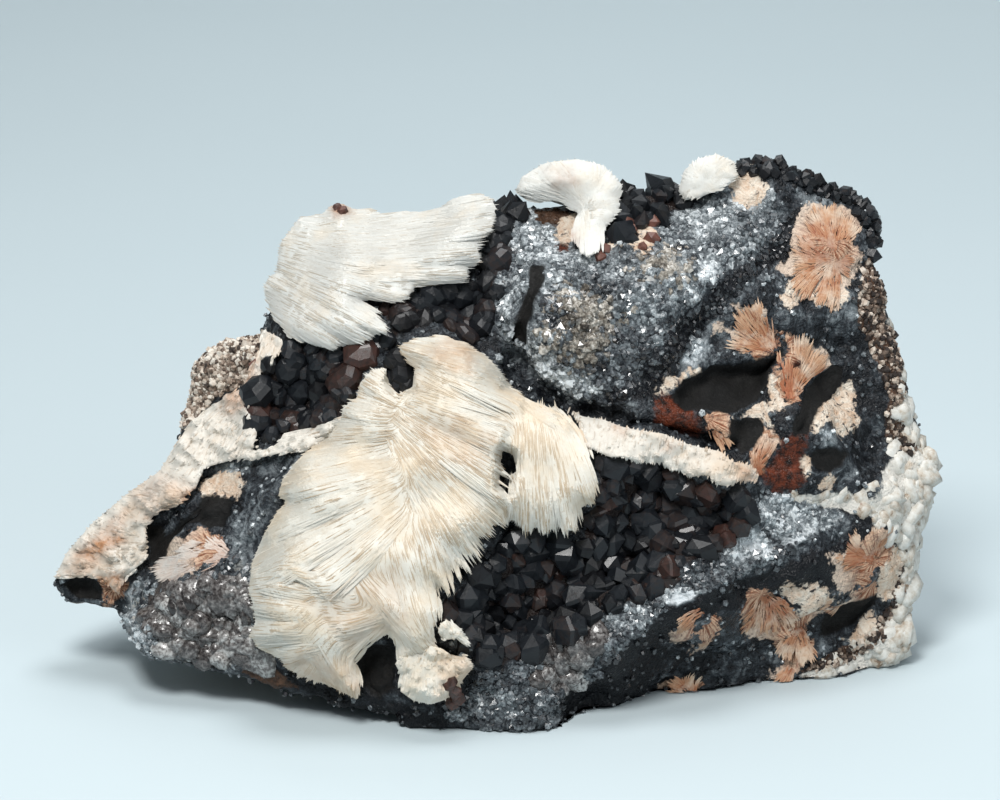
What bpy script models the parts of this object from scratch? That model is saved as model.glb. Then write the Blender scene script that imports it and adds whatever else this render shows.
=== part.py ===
"""Crested white barite on dark quartz: a mineral specimen that stands on its own flat base.

The rock is a leaning block with two crystal-lined hollows in its face. Fans of white barite blades grow
over it, a cream barite crust wraps its left end, and dark quartz points line the hollows.

Outlines are drawn on a front view of the specimen, 1000 by 800 pixels, seen from a little above. Each one
becomes a solid by giving its points a depth behind the plane of that view. Sizes are in metres, +Z is up.
"""

import math

import bmesh
import bpy
import numpy as np
from mathutils import Vector, geometry
from mathutils.bvhtree import BVHTree

# Driving dimensions
WIDTH = 0.240
VIEW_DISTANCE = 1.10
VIEW_ELEVATION = math.radians(17)
BACK_DEPTH_AT_FOOT = 0.056
BACK_DEPTH_AT_TOP = 0.020
BACK_DEPTH_LOST_AT_LEFT_END = 0.022
EDGE_SQUARENESS = 3.0
RIM_MARGIN = 0.004
FLOOR_CLEARANCE = 0.001
GAP = 0.0004
STEEPEST_CORNER = 0.35
MATRIX_SUBDIVISIONS = 6
MATRIX_TRIANGLES_KEPT = 0.175

# The rock's left arm stays clear of the floor: its underside rises leftwards from here at this slope
ARM_START = -0.026
ARM_SLOPE = 0.17
ARM_ROUNDING = 0.004

# The front view: which pixels span the width, where its axis is, and which pixel of the foot is on the floor
LEFT_EDGE_PX = 52
RIGHT_EDGE_PX = 940
AXIS_PX = (500, 400)
FOOT_PX = (530, 731)
FOOT_DEPTH = -0.040
BODY_CENTRE_PX = (500, 450)
METRES_PER_PX = WIDTH / (RIGHT_EDGE_PX - LEFT_EDGE_PX)

# The specimen's place, so that its box stands centred on the origin
ACROSS_SHIFT = 0.0004
AWAY_SHIFT = 0.0166

# Blades and crystals, in pixels of the front view; heights in metres
BLADE_UNEVENNESS = 0.0012
CREST_EDGE_THICKNESS = 0.0026
CRUST_FLOOR_THICKNESS = 0.0014
CRYSTAL_JITTER = 0.16

# Flat breaks across the rock's back and ends: the break's heading in degrees (0 is +X, 90 is +Y), its tilt
# up in degrees, and how deep it cuts in millimetres
BREAKS = [
    (84, 12, 9), (118, 22, 11), (55, 8, 10), (20, 25, 9), (145, 2, 8), (98, 48, 9), (70, -28, 8), (35, 50, 8),
    (108, -20, 7),
]
BREAK_FLATNESS = 0.9

# Outlines on the front view, in pixels, clockwise
MATRIX_OUTLINE = [
    (56, 582), (70, 604), (118, 613), (128, 640), (158, 663), (200, 673), (250, 686), (300, 696),
    (360, 714), (420, 729), (470, 738), (530, 744), (570, 736), (610, 722), (660, 706), (720, 703),
    (800, 699), (850, 682), (888, 662), (905, 640), (908, 600), (920, 560), (925, 530), (932, 500),
    (940, 465), (925, 448), (912, 415), (903, 385), (898, 350), (886, 315), (880, 280), (868, 262),
    (875, 228), (868, 205), (850, 192), (810, 178), (775, 166), (745, 164), (728, 180), (700, 188),
    (660, 192), (620, 204), (560, 206), (500, 210), (440, 228), (380, 238), (320, 245), (288, 270),
    (272, 310), (258, 340), (225, 343), (200, 362), (188, 400), (184, 440), (166, 477), (130, 502),
    (95, 532), (72, 557),
]
MAIN_CREST_OUTLINE = [
    (397, 345), (410, 337), (440, 333), (470, 342), (495, 360), (513, 384), (530, 398), (558, 404),
    (578, 425), (592, 455), (597, 490), (590, 520), (577, 543), (560, 535), (540, 545), (520, 538),
    (507, 530), (494, 556), (470, 575), (447, 598), (437, 620), (440, 640), (452, 645), (475, 662),
    (477, 685), (458, 702), (432, 706), (408, 699), (398, 680), (394, 650), (380, 642), (364, 652),
    (355, 672), (363, 694), (345, 700), (318, 690), (283, 668), (262, 650), (250, 626), (246, 600),
    (254, 590), (247, 573), (256, 545), (275, 515), (286, 490), (283, 475), (300, 455), (330, 437),
    (345, 420), (352, 395), (368, 366), (388, 361), (398, 372), (410, 368), (399, 356),
]
UPPER_CREST_OUTLINE = [
    (262, 296), (275, 250), (300, 219), (335, 207), (380, 213), (440, 206), (478, 194), (498, 202),
    (492, 232), (482, 262), (478, 283), (430, 288), (402, 301), (368, 303), (392, 330), (360, 345),
    (320, 349), (285, 338), (266, 318),
]
TOP_CREST_OUTLINE = [
    (512, 192), (520, 175), (545, 161), (577, 157), (603, 166), (620, 186), (616, 215), (606, 232),
    (600, 256), (585, 262), (568, 240), (575, 215), (560, 203), (530, 202),
]
SMALL_CREST_OUTLINE = [
    (676, 192), (682, 170), (697, 157), (717, 152), (736, 160), (740, 178), (726, 188), (700, 200),
    (684, 203),
]
LEFT_CRUST_OUTLINE = [
    (56, 580), (62, 558), (92, 520), (125, 494), (160, 476), (180, 456), (195, 427), (218, 402),
    (240, 386), (256, 355), (262, 325), (284, 342), (286, 356), (266, 378), (256, 402), (262, 430),
    (268, 447), (300, 436), (318, 428), (334, 432), (300, 452), (262, 459), (235, 462), (206, 470),
    (198, 490), (182, 502), (160, 512), (148, 530), (150, 560), (127, 580), (118, 598), (100, 580),
    (75, 577),
]
SEAM_OUTLINE = [
    (560, 404), (600, 418), (640, 430), (690, 445), (735, 460), (758, 478), (740, 489), (700, 480),
    (655, 468), (610, 458), (592, 452), (580, 425),
]
BOWL_OUTLINE = [
    (600, 456), (655, 470), (700, 482), (742, 492), (752, 512), (735, 535), (705, 552), (672, 575),
    (635, 600), (590, 618), (540, 648), (500, 664), (462, 640), (442, 612), (455, 592), (498, 560),
    (512, 536), (560, 540), (582, 545), (597, 510), (600, 480),
]
POCKET_OUTLINE = [
    (256, 402), (266, 380), (290, 352), (330, 352), (366, 346), (396, 333), (378, 308), (404, 304),
    (432, 291), (482, 286), (486, 262), (496, 232), (503, 215), (512, 225), (500, 262), (492, 300),
    (480, 335), (466, 340), (440, 330), (408, 334), (394, 346), (366, 362), (350, 392), (342, 418),
    (326, 424), (300, 434), (268, 442), (254, 422),
]
TOP_CLUSTER_OUTLINE = [
    (612, 205), (622, 188), (640, 181), (660, 178), (674, 188), (690, 192), (695, 204), (665, 212),
    (650, 232), (636, 246), (612, 238), (604, 228),
]
QUARTZ_DOME_OUTLINE = [
    (505, 215), (530, 203), (562, 206), (600, 230), (650, 222), (690, 205), (745, 192), (790, 215),
    (800, 235), (770, 270), (738, 300), (706, 330), (688, 362), (665, 388), (625, 400), (580, 400),
    (548, 386), (520, 362), (500, 335), (494, 290), (498, 250),
]
FOOT_BAND_OUTLINE = [
    (440, 720), (500, 670), (590, 626), (680, 580), (760, 540), (830, 520), (870, 520), (800, 560),
    (720, 610), (650, 660), (600, 705), (530, 728),
]
BLACK_LENS_OUTLINE = [(660, 408), (692, 380), (735, 362), (788, 350), (775, 378), (748, 402), (705, 412)]
FISSURE_OUTLINE = [
    (498, 340), (520, 352), (552, 384), (600, 404), (650, 416), (700, 424), (745, 444), (738, 458),
    (690, 442), (640, 432), (590, 424), (540, 404), (512, 374),
]
BROKEN_CORNER_OUTLINE = [
    (610, 715), (650, 680), (700, 640), (760, 592), (820, 556), (890, 530), (930, 560), (910, 660),
    (850, 700), (720, 715),
]

# Depths behind the plane of the view, as (pixel across, pixel down, millimetres); negative is nearer the
# viewer. The face of the rock:
FACE_DEPTHS = [
    (60, 580, -8), (100, 595, -15), (160, 640, -26), (130, 530, -12), (200, 600, -34), (200, 500, -22),
    (300, 680, -34), (300, 600, -42), (300, 500, -36), (200, 400, -6), (250, 430, -22), (350, 400, -30),
    (350, 300, -22), (300, 250, -10), (400, 600, -45), (420, 715, -42), (450, 450, -37), (450, 250, -17),
    (500, 640, -46), (530, 728, -40), (600, 640, -42), (600, 700, -28), (600, 500, -37), (550, 330, -27),
    (700, 600, -38), (700, 680, -16), (700, 450, -31), (650, 300, -23), (600, 220, -9), (700, 200, -4),
    (800, 570, -28), (800, 670, -11), (870, 640, -4), (870, 520, -17), (900, 450, -8), (800, 450, -24),
    (750, 320, -17), (800, 250, -9), (850, 200, 0), (850, 350, -10),
]
# Its silhouette, where the face turns over to the back:
RIM_DEPTHS = [
    (56, 582, 0), (100, 607, -6), (160, 663, -20), (230, 680, -25), (300, 696, -28), (360, 714, -33),
    (420, 729, -38), (530, 744, -38), (600, 724, -22), (660, 706, -10), (800, 699, -2), (900, 640, 6),
    (940, 465, 8), (870, 230, 8), (745, 164, 7), (600, 205, 6), (440, 228, 6), (300, 255, 6),
    (225, 343, 8), (166, 477, 4), (95, 532, 2),
]

# Reliefs of the rock's face: outline, how far it stands out (negative is hollow), its slope's width in pixels
FACE_RELIEFS = [
    (QUARTZ_DOME_OUTLINE, 0.0070, 45),
    (BOWL_OUTLINE, -0.0085, 32),
    (POCKET_OUTLINE, -0.0075, 26),
    (FOOT_BAND_OUTLINE, 0.0045, 30),
    (BLACK_LENS_OUTLINE, -0.0045, 14),
    (FISSURE_OUTLINE, -0.0050, 9),
    (BROKEN_CORNER_OUTLINE, -0.0050, 16),
]

# Directions in which the blades run, as (pixel across, pixel down, heading in degrees; 0 right, 90 down)
MAIN_CREST_FLOW = [
    (420, 350, 20), (480, 370, 40), (370, 385, 35), (440, 410, 25), (510, 420, 50), (560, 430, 62),
    (520, 500, 85), (550, 530, 95), (585, 500, 80), (330, 460, 150), (400, 450, 60), (450, 500, 50),
    (480, 550, 42), (300, 510, 145), (360, 520, 140), (410, 540, 62), (440, 580, 60), (270, 560, 150),
    (260, 620, 190), (300, 600, 165), (330, 640, 120), (300, 670, 75), (380, 600, 100), (350, 690, 80),
    (400, 630, 85), (430, 660, 95), (450, 690, 40),
]
UPPER_CREST_FLOW = [
    (480, 205, 330), (470, 250, 350), (470, 280, 5), (380, 230, 5), (400, 290, 10), (300, 240, 190),
    (280, 290, 195), (300, 330, 40), (350, 300, 25), (380, 325, 30), (330, 345, 15),
]
TOP_CREST_FLOW = [(530, 190, 190), (560, 175, 230), (610, 190, 340), (590, 240, 100), (575, 200, 60)]
SMALL_CREST_FLOW = [(690, 170, 230), (720, 160, 290), (730, 180, 10), (690, 195, 130)]
SEAM_FLOW = [(570, 415, 80), (620, 440, 100), (680, 460, 95), (740, 475, 85)]
LEFT_CRUST_FLOW = [
    (90, 550, 150), (160, 500, 20), (220, 430, 110), (250, 370, 100), (300, 445, 0), (130, 570, 60),
]


def place(px, py, depth):
    """Points of the model for pixels of the front view at these depths behind its plane."""
    px, py, depth = np.broadcast_arrays(*(np.asarray(values, float) for values in (px, py, depth)))
    spread = 1 + depth / VIEW_DISTANCE
    across = (px - AXIS_PX[0]) * METRES_PER_PX * spread
    up = (AXIS_PX[1] - py) * METRES_PER_PX * spread
    away = depth * math.cos(VIEW_ELEVATION) + up * math.sin(VIEW_ELEVATION)
    height = up * math.cos(VIEW_ELEVATION) - depth * math.sin(VIEW_ELEVATION)
    return np.stack([across, away, height], -1)


FLOOR_SHIFT = -float(place(*FOOT_PX, FOOT_DEPTH)[2])
SHIFT = np.array([ACROSS_SHIFT, AWAY_SHIFT, FLOOR_SHIFT])
EYE = place(*AXIS_PX, -VIEW_DISTANCE) + SHIFT


def inside(points, outline):
    """Distance in pixels from each point to an outline, positive inside it."""
    p = np.asarray(points, float)[:, None, :]
    start = np.asarray(outline, float)[None]
    end = np.roll(start, -1, axis=1)
    run = end - start
    along = np.clip(((p - start) * run).sum(2) / (run**2).sum(2), 0, 1)
    distance = np.linalg.norm(p - start - along[..., None] * run, axis=2).min(1)
    rises = (start[..., 1] > p[..., 1]) != (end[..., 1] > p[..., 1])
    slope = run[..., 0] / np.where(run[..., 1] == 0, 1e-9, run[..., 1])
    crossing = start[..., 0] + (p[..., 1] - start[..., 1]) * slope
    within = (rises & (p[..., 0] < crossing)).sum(1) % 2 == 1
    return np.where(within, distance, -distance)


def smooth_step(value):
    value = np.clip(value, 0, 1)
    return value * value * (3 - 2 * value)


def outline_reach(angles, outline, centre):
    """How far the outline is from its centre, in pixels, in each direction."""
    start = np.asarray(outline, float) - centre
    run = np.roll(start, -1, axis=0) - start
    ray = np.stack([np.cos(angles), np.sin(angles)], -1)[:, None, :]
    cross = ray[..., 0] * run[:, 1] - ray[..., 1] * run[:, 0]
    cross = np.where(np.abs(cross) < 1e-9, 1e-9, cross)
    reach = (start[:, 0] * run[:, 1] - start[:, 1] * run[:, 0]) / cross
    share = (start[:, 0] * ray[..., 1] - start[:, 1] * ray[..., 0]) / cross
    hit = (reach > 0) & (share >= -1e-6) & (share <= 1 + 1e-6)
    return np.where(hit, reach, 0).max(1)


def rumple(points, wavelength, seed, waves=14):
    """A smooth random swell, about -1 to 1: a sum of plane waves in seeded directions."""
    random = np.random.default_rng(seed)
    direction = random.normal(size=(waves, 3))
    direction /= np.linalg.norm(direction, axis=1)[:, None]
    number = direction * (2 * math.pi / wavelength) * random.uniform(0.6, 1.5, (waves, 1))
    return np.sin(points @ number.T + random.uniform(0, 2 * math.pi, waves)).sum(1) / math.sqrt(waves)


def blend_depths(px, py, stations):
    """Depth in metres at each pixel, a smooth blend of the stated ones that leans to the nearest."""
    stations = np.asarray(stations, float)
    apart = (px[:, None] - stations[:, 0]) ** 2 + (py[:, None] - stations[:, 1]) ** 2
    weight = 1 / (apart + 400) ** 2
    return (weight * stations[:, 2]).sum(1) / weight.sum(1) / 1000


def back_depth(px, py):
    """The rock's back: it leans towards the viewer as it rises, and the left arm is thinner."""
    height = np.clip((FOOT_PX[1] - py) / (FOOT_PX[1] - 160), 0, 1)
    depth = BACK_DEPTH_AT_FOOT + (BACK_DEPTH_AT_TOP - BACK_DEPTH_AT_FOOT) * height
    return depth - BACK_DEPTH_LOST_AT_LEFT_END * smooth_step((360 - px) / 300)


def face_relief(px, py):
    """How far the rock's face stands out of its plain rounded shape."""
    points = np.stack([px, py], -1)
    relief = np.zeros(len(points))
    for outline, height, slope in FACE_RELIEFS:
        relief += height * smooth_step(inside(points, outline) / slope)
    return relief


def break_away(points, share):
    """The points pushed back to each break's plane, by their share of it."""
    for azimuth, elevation, depth in BREAKS:
        azimuth, elevation = math.radians(azimuth), math.radians(elevation)
        normal = np.array([math.cos(azimuth), math.sin(azimuth), 0]) * math.cos(elevation)
        normal[2] = math.sin(elevation)
        reach = points @ normal
        beyond = np.clip(reach - reach.max() + depth / 1000, 0, None)
        points = points - (beyond * share * BREAK_FLATNESS)[:, None] * normal
    return points


def material(name, colour, roughness):
    made = bpy.data.materials.new(name)
    made.use_nodes = True
    shader = made.node_tree.nodes["Principled BSDF"]
    shader.inputs["Base Color"].default_value = (*colour, 1)
    shader.inputs["Roughness"].default_value = roughness
    shader.inputs["Metallic"].default_value = 0
    return made


def object_of(name, mesh_builder, finish):
    """A named object from a bmesh, which is freed here."""
    mesh = bpy.data.meshes.new(name)
    mesh_builder.to_mesh(mesh)
    mesh_builder.free()
    made = bpy.data.objects.new(name, mesh)
    bpy.context.scene.collection.objects.link(made)
    mesh.materials.append(finish)
    return made


def bake_modifiers(target):
    """Replaces the object's mesh with what its modifiers make of it."""
    bpy.context.view_layer.update()
    graph = bpy.context.evaluated_depsgraph_get()
    mesh = bpy.data.meshes.new_from_object(target.evaluated_get(graph))
    target.modifiers.clear()
    target.data = mesh


def make_matrix(finish):
    """The rock: a ball stretched over the outline, squared off at its edges, and cut flat at the floor."""
    builder = bmesh.new()
    bmesh.ops.create_icosphere(builder, subdivisions=MATRIX_SUBDIVISIONS, radius=1)
    direction = np.array([v.co for v in builder.verts])
    across, down, front = direction[:, 0], -direction[:, 2], direction[:, 1]
    angles = np.arctan2(down, across)
    flat = np.hypot(across, down)
    norm = (flat**EDGE_SQUARENESS + np.abs(front) ** EDGE_SQUARENESS) ** (1 / EDGE_SQUARENESS)
    flat, front = flat / norm, front / norm
    reach = outline_reach(angles, MATRIX_OUTLINE, BODY_CENTRE_PX) * flat
    px = BODY_CENTRE_PX[0] + reach * np.cos(angles)
    py = BODY_CENTRE_PX[1] + reach * np.sin(angles)
    rim = blend_depths(px, py, RIM_DEPTHS)
    face = blend_depths(px, py, FACE_DEPTHS) - face_relief(px, py) * smooth_step(-front * 2)
    depth = rim + np.where(front < 0, (face - rim) * -front, (back_depth(px, py) - rim) * front)
    points = place(px, py, depth) + SHIFT
    points = break_away(points, smooth_step(front * 2.5))
    clearance = ARM_SLOPE * (ARM_START - points[:, 0])
    lifted = (points[:, 2] + clearance + np.hypot(points[:, 2] - clearance, ARM_ROUNDING)) / 2
    points[:, 2] = np.where(clearance > 0, lifted, points[:, 2])
    for vertex, point in zip(builder.verts, points):
        vertex.co = point
    bmesh.ops.recalc_face_normals(builder, faces=builder.faces)
    builder.normal_update()
    swell = 0.0017 * rumple(points, 0.034, 3) + 0.0010 * rumple(points, 0.015, 4)
    swell += 0.0005 * rumple(points, 0.008, 5)
    swell *= (0.3 + 0.7 * np.abs(front)) * (1 + 0.9 * smooth_step(front))
    for vertex, height in zip(builder.verts, swell):
        vertex.co += vertex.normal * height
    rock = object_of("matrix", builder, finish)
    thin = rock.modifiers.new("fewer facets", "DECIMATE")
    thin.ratio = MATRIX_TRIANGLES_KEPT
    bake_modifiers(rock)
    cut_at_floor(rock)
    return rock


def cut_at_floor(target):
    """Removes what lies below the floor and closes the cut with a flat base."""
    builder = bmesh.new()
    builder.from_mesh(target.data)
    everything = builder.verts[:] + builder.edges[:] + builder.faces[:]
    bmesh.ops.bisect_plane(
        builder, geom=everything, dist=1e-6, plane_co=(0, 0, 0), plane_no=(0, 0, -1), clear_outer=True
    )
    rim = [edge for edge in builder.edges if edge.is_boundary]
    bmesh.ops.contextual_create(builder, geom=rim)
    bmesh.ops.triangulate(builder, faces=[f for f in builder.faces if len(f.verts) > 3])
    bmesh.ops.recalc_face_normals(builder, faces=builder.faces)
    builder.to_mesh(target.data)
    builder.free()


def surface_depths(points, tree):
    """Depth of the rock's face behind each pixel; beyond its outline, the depth of its rounded edge."""
    found = []
    for px, py in points:
        through = Vector(place(px, py, 0.0) + SHIFT)
        ray = (through - Vector(EYE)).normalized()
        hit = tree.ray_cast(Vector(EYE), ray)[0]
        rim = float(blend_depths(np.array([px]), np.array([py]), RIM_DEPTHS)[0]) - RIM_MARGIN
        if hit is None:
            found.append(rim)
            continue
        along_view = (hit - Vector(EYE)).length / (through - Vector(EYE)).length
        found.append(min((along_view - 1) * VIEW_DISTANCE, rim))
    return np.array(found)


def resample(outline, spacing):
    """The outline with points evenly spaced along it, in pixels."""
    corners = np.asarray(outline + outline[:1], float)
    lengths = np.linalg.norm(np.diff(corners, axis=0), axis=1)
    distance = np.concatenate([[0], np.cumsum(lengths)])
    count = max(8, int(round(distance[-1] / spacing)))
    at = np.arange(count) * distance[-1] / count
    return np.stack([np.interp(at, distance, corners[:, axis]) for axis in (0, 1)], -1)


def heading(points, flow):
    """The blades' unit direction at each pixel, a blend of the nearest stated headings."""
    flow = np.asarray(flow, float)
    away = ((np.asarray(points, float)[:, None, :] - flow[None, :, :2]) ** 2).sum(2)
    weight = 1 / (away + 60) ** 1.6
    turn = np.radians(flow[:, 2])
    blend = weight @ np.stack([np.cos(turn), np.sin(turn)], -1)
    return blend / np.maximum(np.linalg.norm(blend, axis=1), 1e-9)[:, None]


def toothed(outline, spacing, flow, length):
    """An outline whose points step in and out where the blades run across it, as the tips of a fan do."""
    points = resample(outline, spacing)
    run = np.roll(points, -1, axis=0) - np.roll(points, 1, axis=0)
    outward = np.stack([run[:, 1], -run[:, 0]], -1)
    outward /= np.linalg.norm(outward, axis=1)[:, None]
    if inside(points + outward, outline).mean() > 0:
        outward = -outward
    across = np.clip((outward * heading(points, flow)).sum(1), 0, 1)
    step = np.where(np.arange(len(points)) % 2 == 0, 1.0, -0.35) * length * across
    return points + outward * step[:, None]


def blade_lines(outline, flow, spacing, step, margin, seed):
    """Lines that follow the blades, a spacing apart, as lists of pixels inside the outline."""
    random = np.random.default_rng(seed)
    low, high = np.min(outline, axis=0), np.max(outline, axis=0)
    seeds = np.stack(np.meshgrid(*(np.arange(low[i], high[i], spacing) for i in (0, 1))), -1).reshape(-1, 2)
    seeds = random.permutation(seeds)
    taken, lines = np.empty((0, 2)), []
    for start in seeds:
        if inside([start], outline)[0] < margin or too_near(start, taken, spacing):
            continue
        halves = []
        for sign in (-1, 1):
            point, half = start, []
            for _ in range(60):
                point = point + sign * step * heading([point], flow)[0]
                if inside([point], outline)[0] < margin or too_near(point, taken, spacing * 0.8):
                    break
                half.append(point)
            halves.append(half)
        line = halves[0][::-1] + [start] + halves[1]
        lines.append(line)
        taken = np.concatenate([taken, line])
    return lines


def too_near(point, taken, spacing):
    return len(taken) > 0 and np.hypot(*(taken - point).T).min() < spacing


def floor_depth(py):
    """The depth at which a pixel's line of sight is a little above the floor."""
    up = (AXIS_PX[1] - py) * METRES_PER_PX
    drop = math.sin(VIEW_ELEVATION) - up * math.cos(VIEW_ELEVATION) / VIEW_DISTANCE
    return (up * math.cos(VIEW_ELEVATION) + FLOOR_SHIFT - FLOOR_CLEARANCE) / drop


def drape(name, rim, lines, tree, front, back, finish):
    """A closed solid over an outline: the rim and the lines inside it, triangulated once for its front and
    once for its back, and joined round the rim.

    front and back give each point's depth from its pixel, its line's number and the rock's depth there.
    """
    points = [tuple(p) for p in rim]
    numbers = [-1] * len(points)
    edges = [(i, (i + 1) % len(points)) for i in range(len(points))]
    for number, line in enumerate(lines):
        for order, point in enumerate(line):
            if order:
                edges.append((len(points) - 1, len(points)))
            points.append(tuple(point))
            numbers.append(number)
    made = geometry.delaunay_2d_cdt([Vector(p) for p in points], edges, [], 1, 1e-3)
    flat = np.array([list(v) for v in made[0]])
    numbers = np.array([numbers[origin[0]] if origin else -1 for origin in made[3]])
    seat = surface_depths(flat, tree)
    builder = bmesh.new()
    layers = []
    deepest = floor_depth(flat[:, 1])
    for depths in (front(flat, numbers, seat), np.minimum(back(flat, numbers, seat), deepest)):
        layers.append([builder.verts.new(p) for p in place(flat[:, 0], flat[:, 1], depths) + SHIFT])
    for face in made[2]:
        for layer, order in ((layers[0], 1), (layers[1], -1)):
            builder.faces.new([layer[i] for i in face][::order])
    for edge in [e for e in builder.edges if e.is_boundary and e.verts[0] in set(layers[0])]:
        first, second = (layers[0].index(v) for v in edge.verts)
        builder.faces.new([layers[0][first], layers[0][second], layers[1][second], layers[1][first]])
    bmesh.ops.triangulate(builder, faces=[f for f in builder.faces if len(f.verts) > 3])
    bmesh.ops.recalc_face_normals(builder, faces=builder.faces)
    return object_of(name, builder, finish)


def inflated(source, distance):
    """A hidden copy whose surface is moved out by a distance, to cut a neighbour with."""
    cutter = source.copy()
    cutter.data = source.data.copy()
    cutter.name = source.name + "_cutter"
    bpy.context.scene.collection.objects.link(cutter)
    builder = bmesh.new()
    builder.from_mesh(cutter.data)
    moves = []
    for vertex in builder.verts:
        steepest = min(vertex.normal.dot(face.normal) for face in vertex.link_faces)
        moves.append(vertex.normal * distance / max(steepest, STEEPEST_CORNER))
    for vertex, move in zip(builder.verts, moves):
        vertex.co += move
    builder.to_mesh(cutter.data)
    builder.free()
    cutter.hide_render = True
    cutter.display_type = "WIRE"
    return cutter


def keep_largest(target):
    """Removes loose crumbs that a cut left, keeping the body with the most faces."""
    builder = bmesh.new()
    builder.from_mesh(target.data)
    left, bodies = set(builder.faces), []
    while left:
        body, edge_of_search = set(), [left.pop()]
        while edge_of_search:
            face = edge_of_search.pop()
            body.add(face)
            near = {f for e in face.edges for f in e.link_faces} & left
            left -= near
            edge_of_search.extend(near)
        bodies.append(body)
    largest = max(bodies, key=len)
    bmesh.ops.delete(builder, geom=[f for f in builder.faces if f not in largest], context="FACES")
    builder.to_mesh(target.data)
    builder.free()


def carve(target, *neighbours):
    """Cuts the target back from its neighbours, leaving the gap between them.

    The closer cut of the two clears the few creases where the wider offset folds over itself.
    """
    cutters = [inflated(neighbour, offset) for neighbour in neighbours for offset in (GAP, GAP / 4)]
    for cutter in cutters:
        cut = target.modifiers.new("clear of " + cutter.name, "BOOLEAN")
        cut.operation = "DIFFERENCE"
        cut.solver = "MANIFOLD"
        cut.object = cutter
    bake_modifiers(target)
    for cutter in cutters:
        bpy.data.objects.remove(cutter)
    keep_largest(target)


def make_crest(name, outline, flow, tree, finish, thickness, overhang, spacing, tooth, crown):
    """A barite crest: a dome over its outline, ridged along its blades, with teeth where the blades end.

    thickness is how far it stands out of the rock, overhang how far it reaches behind the rock's rim, spacing
    the distance between ridges, tooth the length of the tips, and crown the width over which the dome rises.
    """
    rim = toothed(outline, spacing, flow, tooth)
    lines = blade_lines(outline, flow, spacing, 2.4 * spacing, 0.6 * spacing, len(outline))
    random = np.random.default_rng(len(outline))
    uneven = random.uniform(-BLADE_UNEVENNESS, BLADE_UNEVENNESS, len(lines) + 1)

    def front(flat, numbers, seat):
        rise = np.sqrt(smooth_step((inside(flat, outline) + tooth) / crown))
        ridge = np.where(numbers >= 0, uneven[numbers], 0)
        return seat - CREST_EDGE_THICKNESS - (thickness - CREST_EDGE_THICKNESS) * rise - ridge

    def back(flat, numbers, seat):
        return seat + GAP + overhang * smooth_step((inside(flat, outline) + tooth) / crown)

    return drape(name, rim, lines, tree, front, back, finish)


def make_crystals(name, outline, tree, finish, spacing, height):
    """A crust of quartz points: six-sided pyramids packed in a jittered honeycomb over the outline."""
    random = np.random.default_rng(len(outline))
    low, high = np.min(outline, axis=0), np.max(outline, axis=0)
    tips, corners = [], []
    row_step = spacing * math.sqrt(3) / 2
    for row in range(int((high[1] - low[1]) / row_step) + 2):
        for column in range(int((high[0] - low[0]) / spacing) + 2):
            tip = np.array([low[0] + (column + 0.5 * (row % 2)) * spacing, low[1] + row * row_step])
            tips.append(tip + random.uniform(-CRYSTAL_JITTER, CRYSTAL_JITTER, 2) * spacing)
            for turn in (math.pi / 2, math.pi / 6):
                corner = tip + spacing / math.sqrt(3) * np.array([math.cos(turn), math.sin(turn)])
                corners.append(corner + random.uniform(-CRYSTAL_JITTER, CRYSTAL_JITTER, 2) * spacing / 2)
    points = np.array(tips + corners)
    kept = inside(points, outline) > 0.28 * spacing
    is_tip = (np.arange(len(points)) < len(tips))[kept]
    lines = [[p] for p in points[kept]]
    rises = np.where(is_tip, random.uniform(0.7, 1.2, len(lines)) * height, 0.0)

    def front(flat, numbers, seat):
        return seat - CRUST_FLOOR_THICKNESS - np.where(numbers >= 0, rises[numbers], 0)

    def back(flat, numbers, seat):
        return seat + CRUST_FLOOR_THICKNESS

    return drape(name, resample(outline, spacing * 0.8), lines, tree, front, back, finish)


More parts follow.
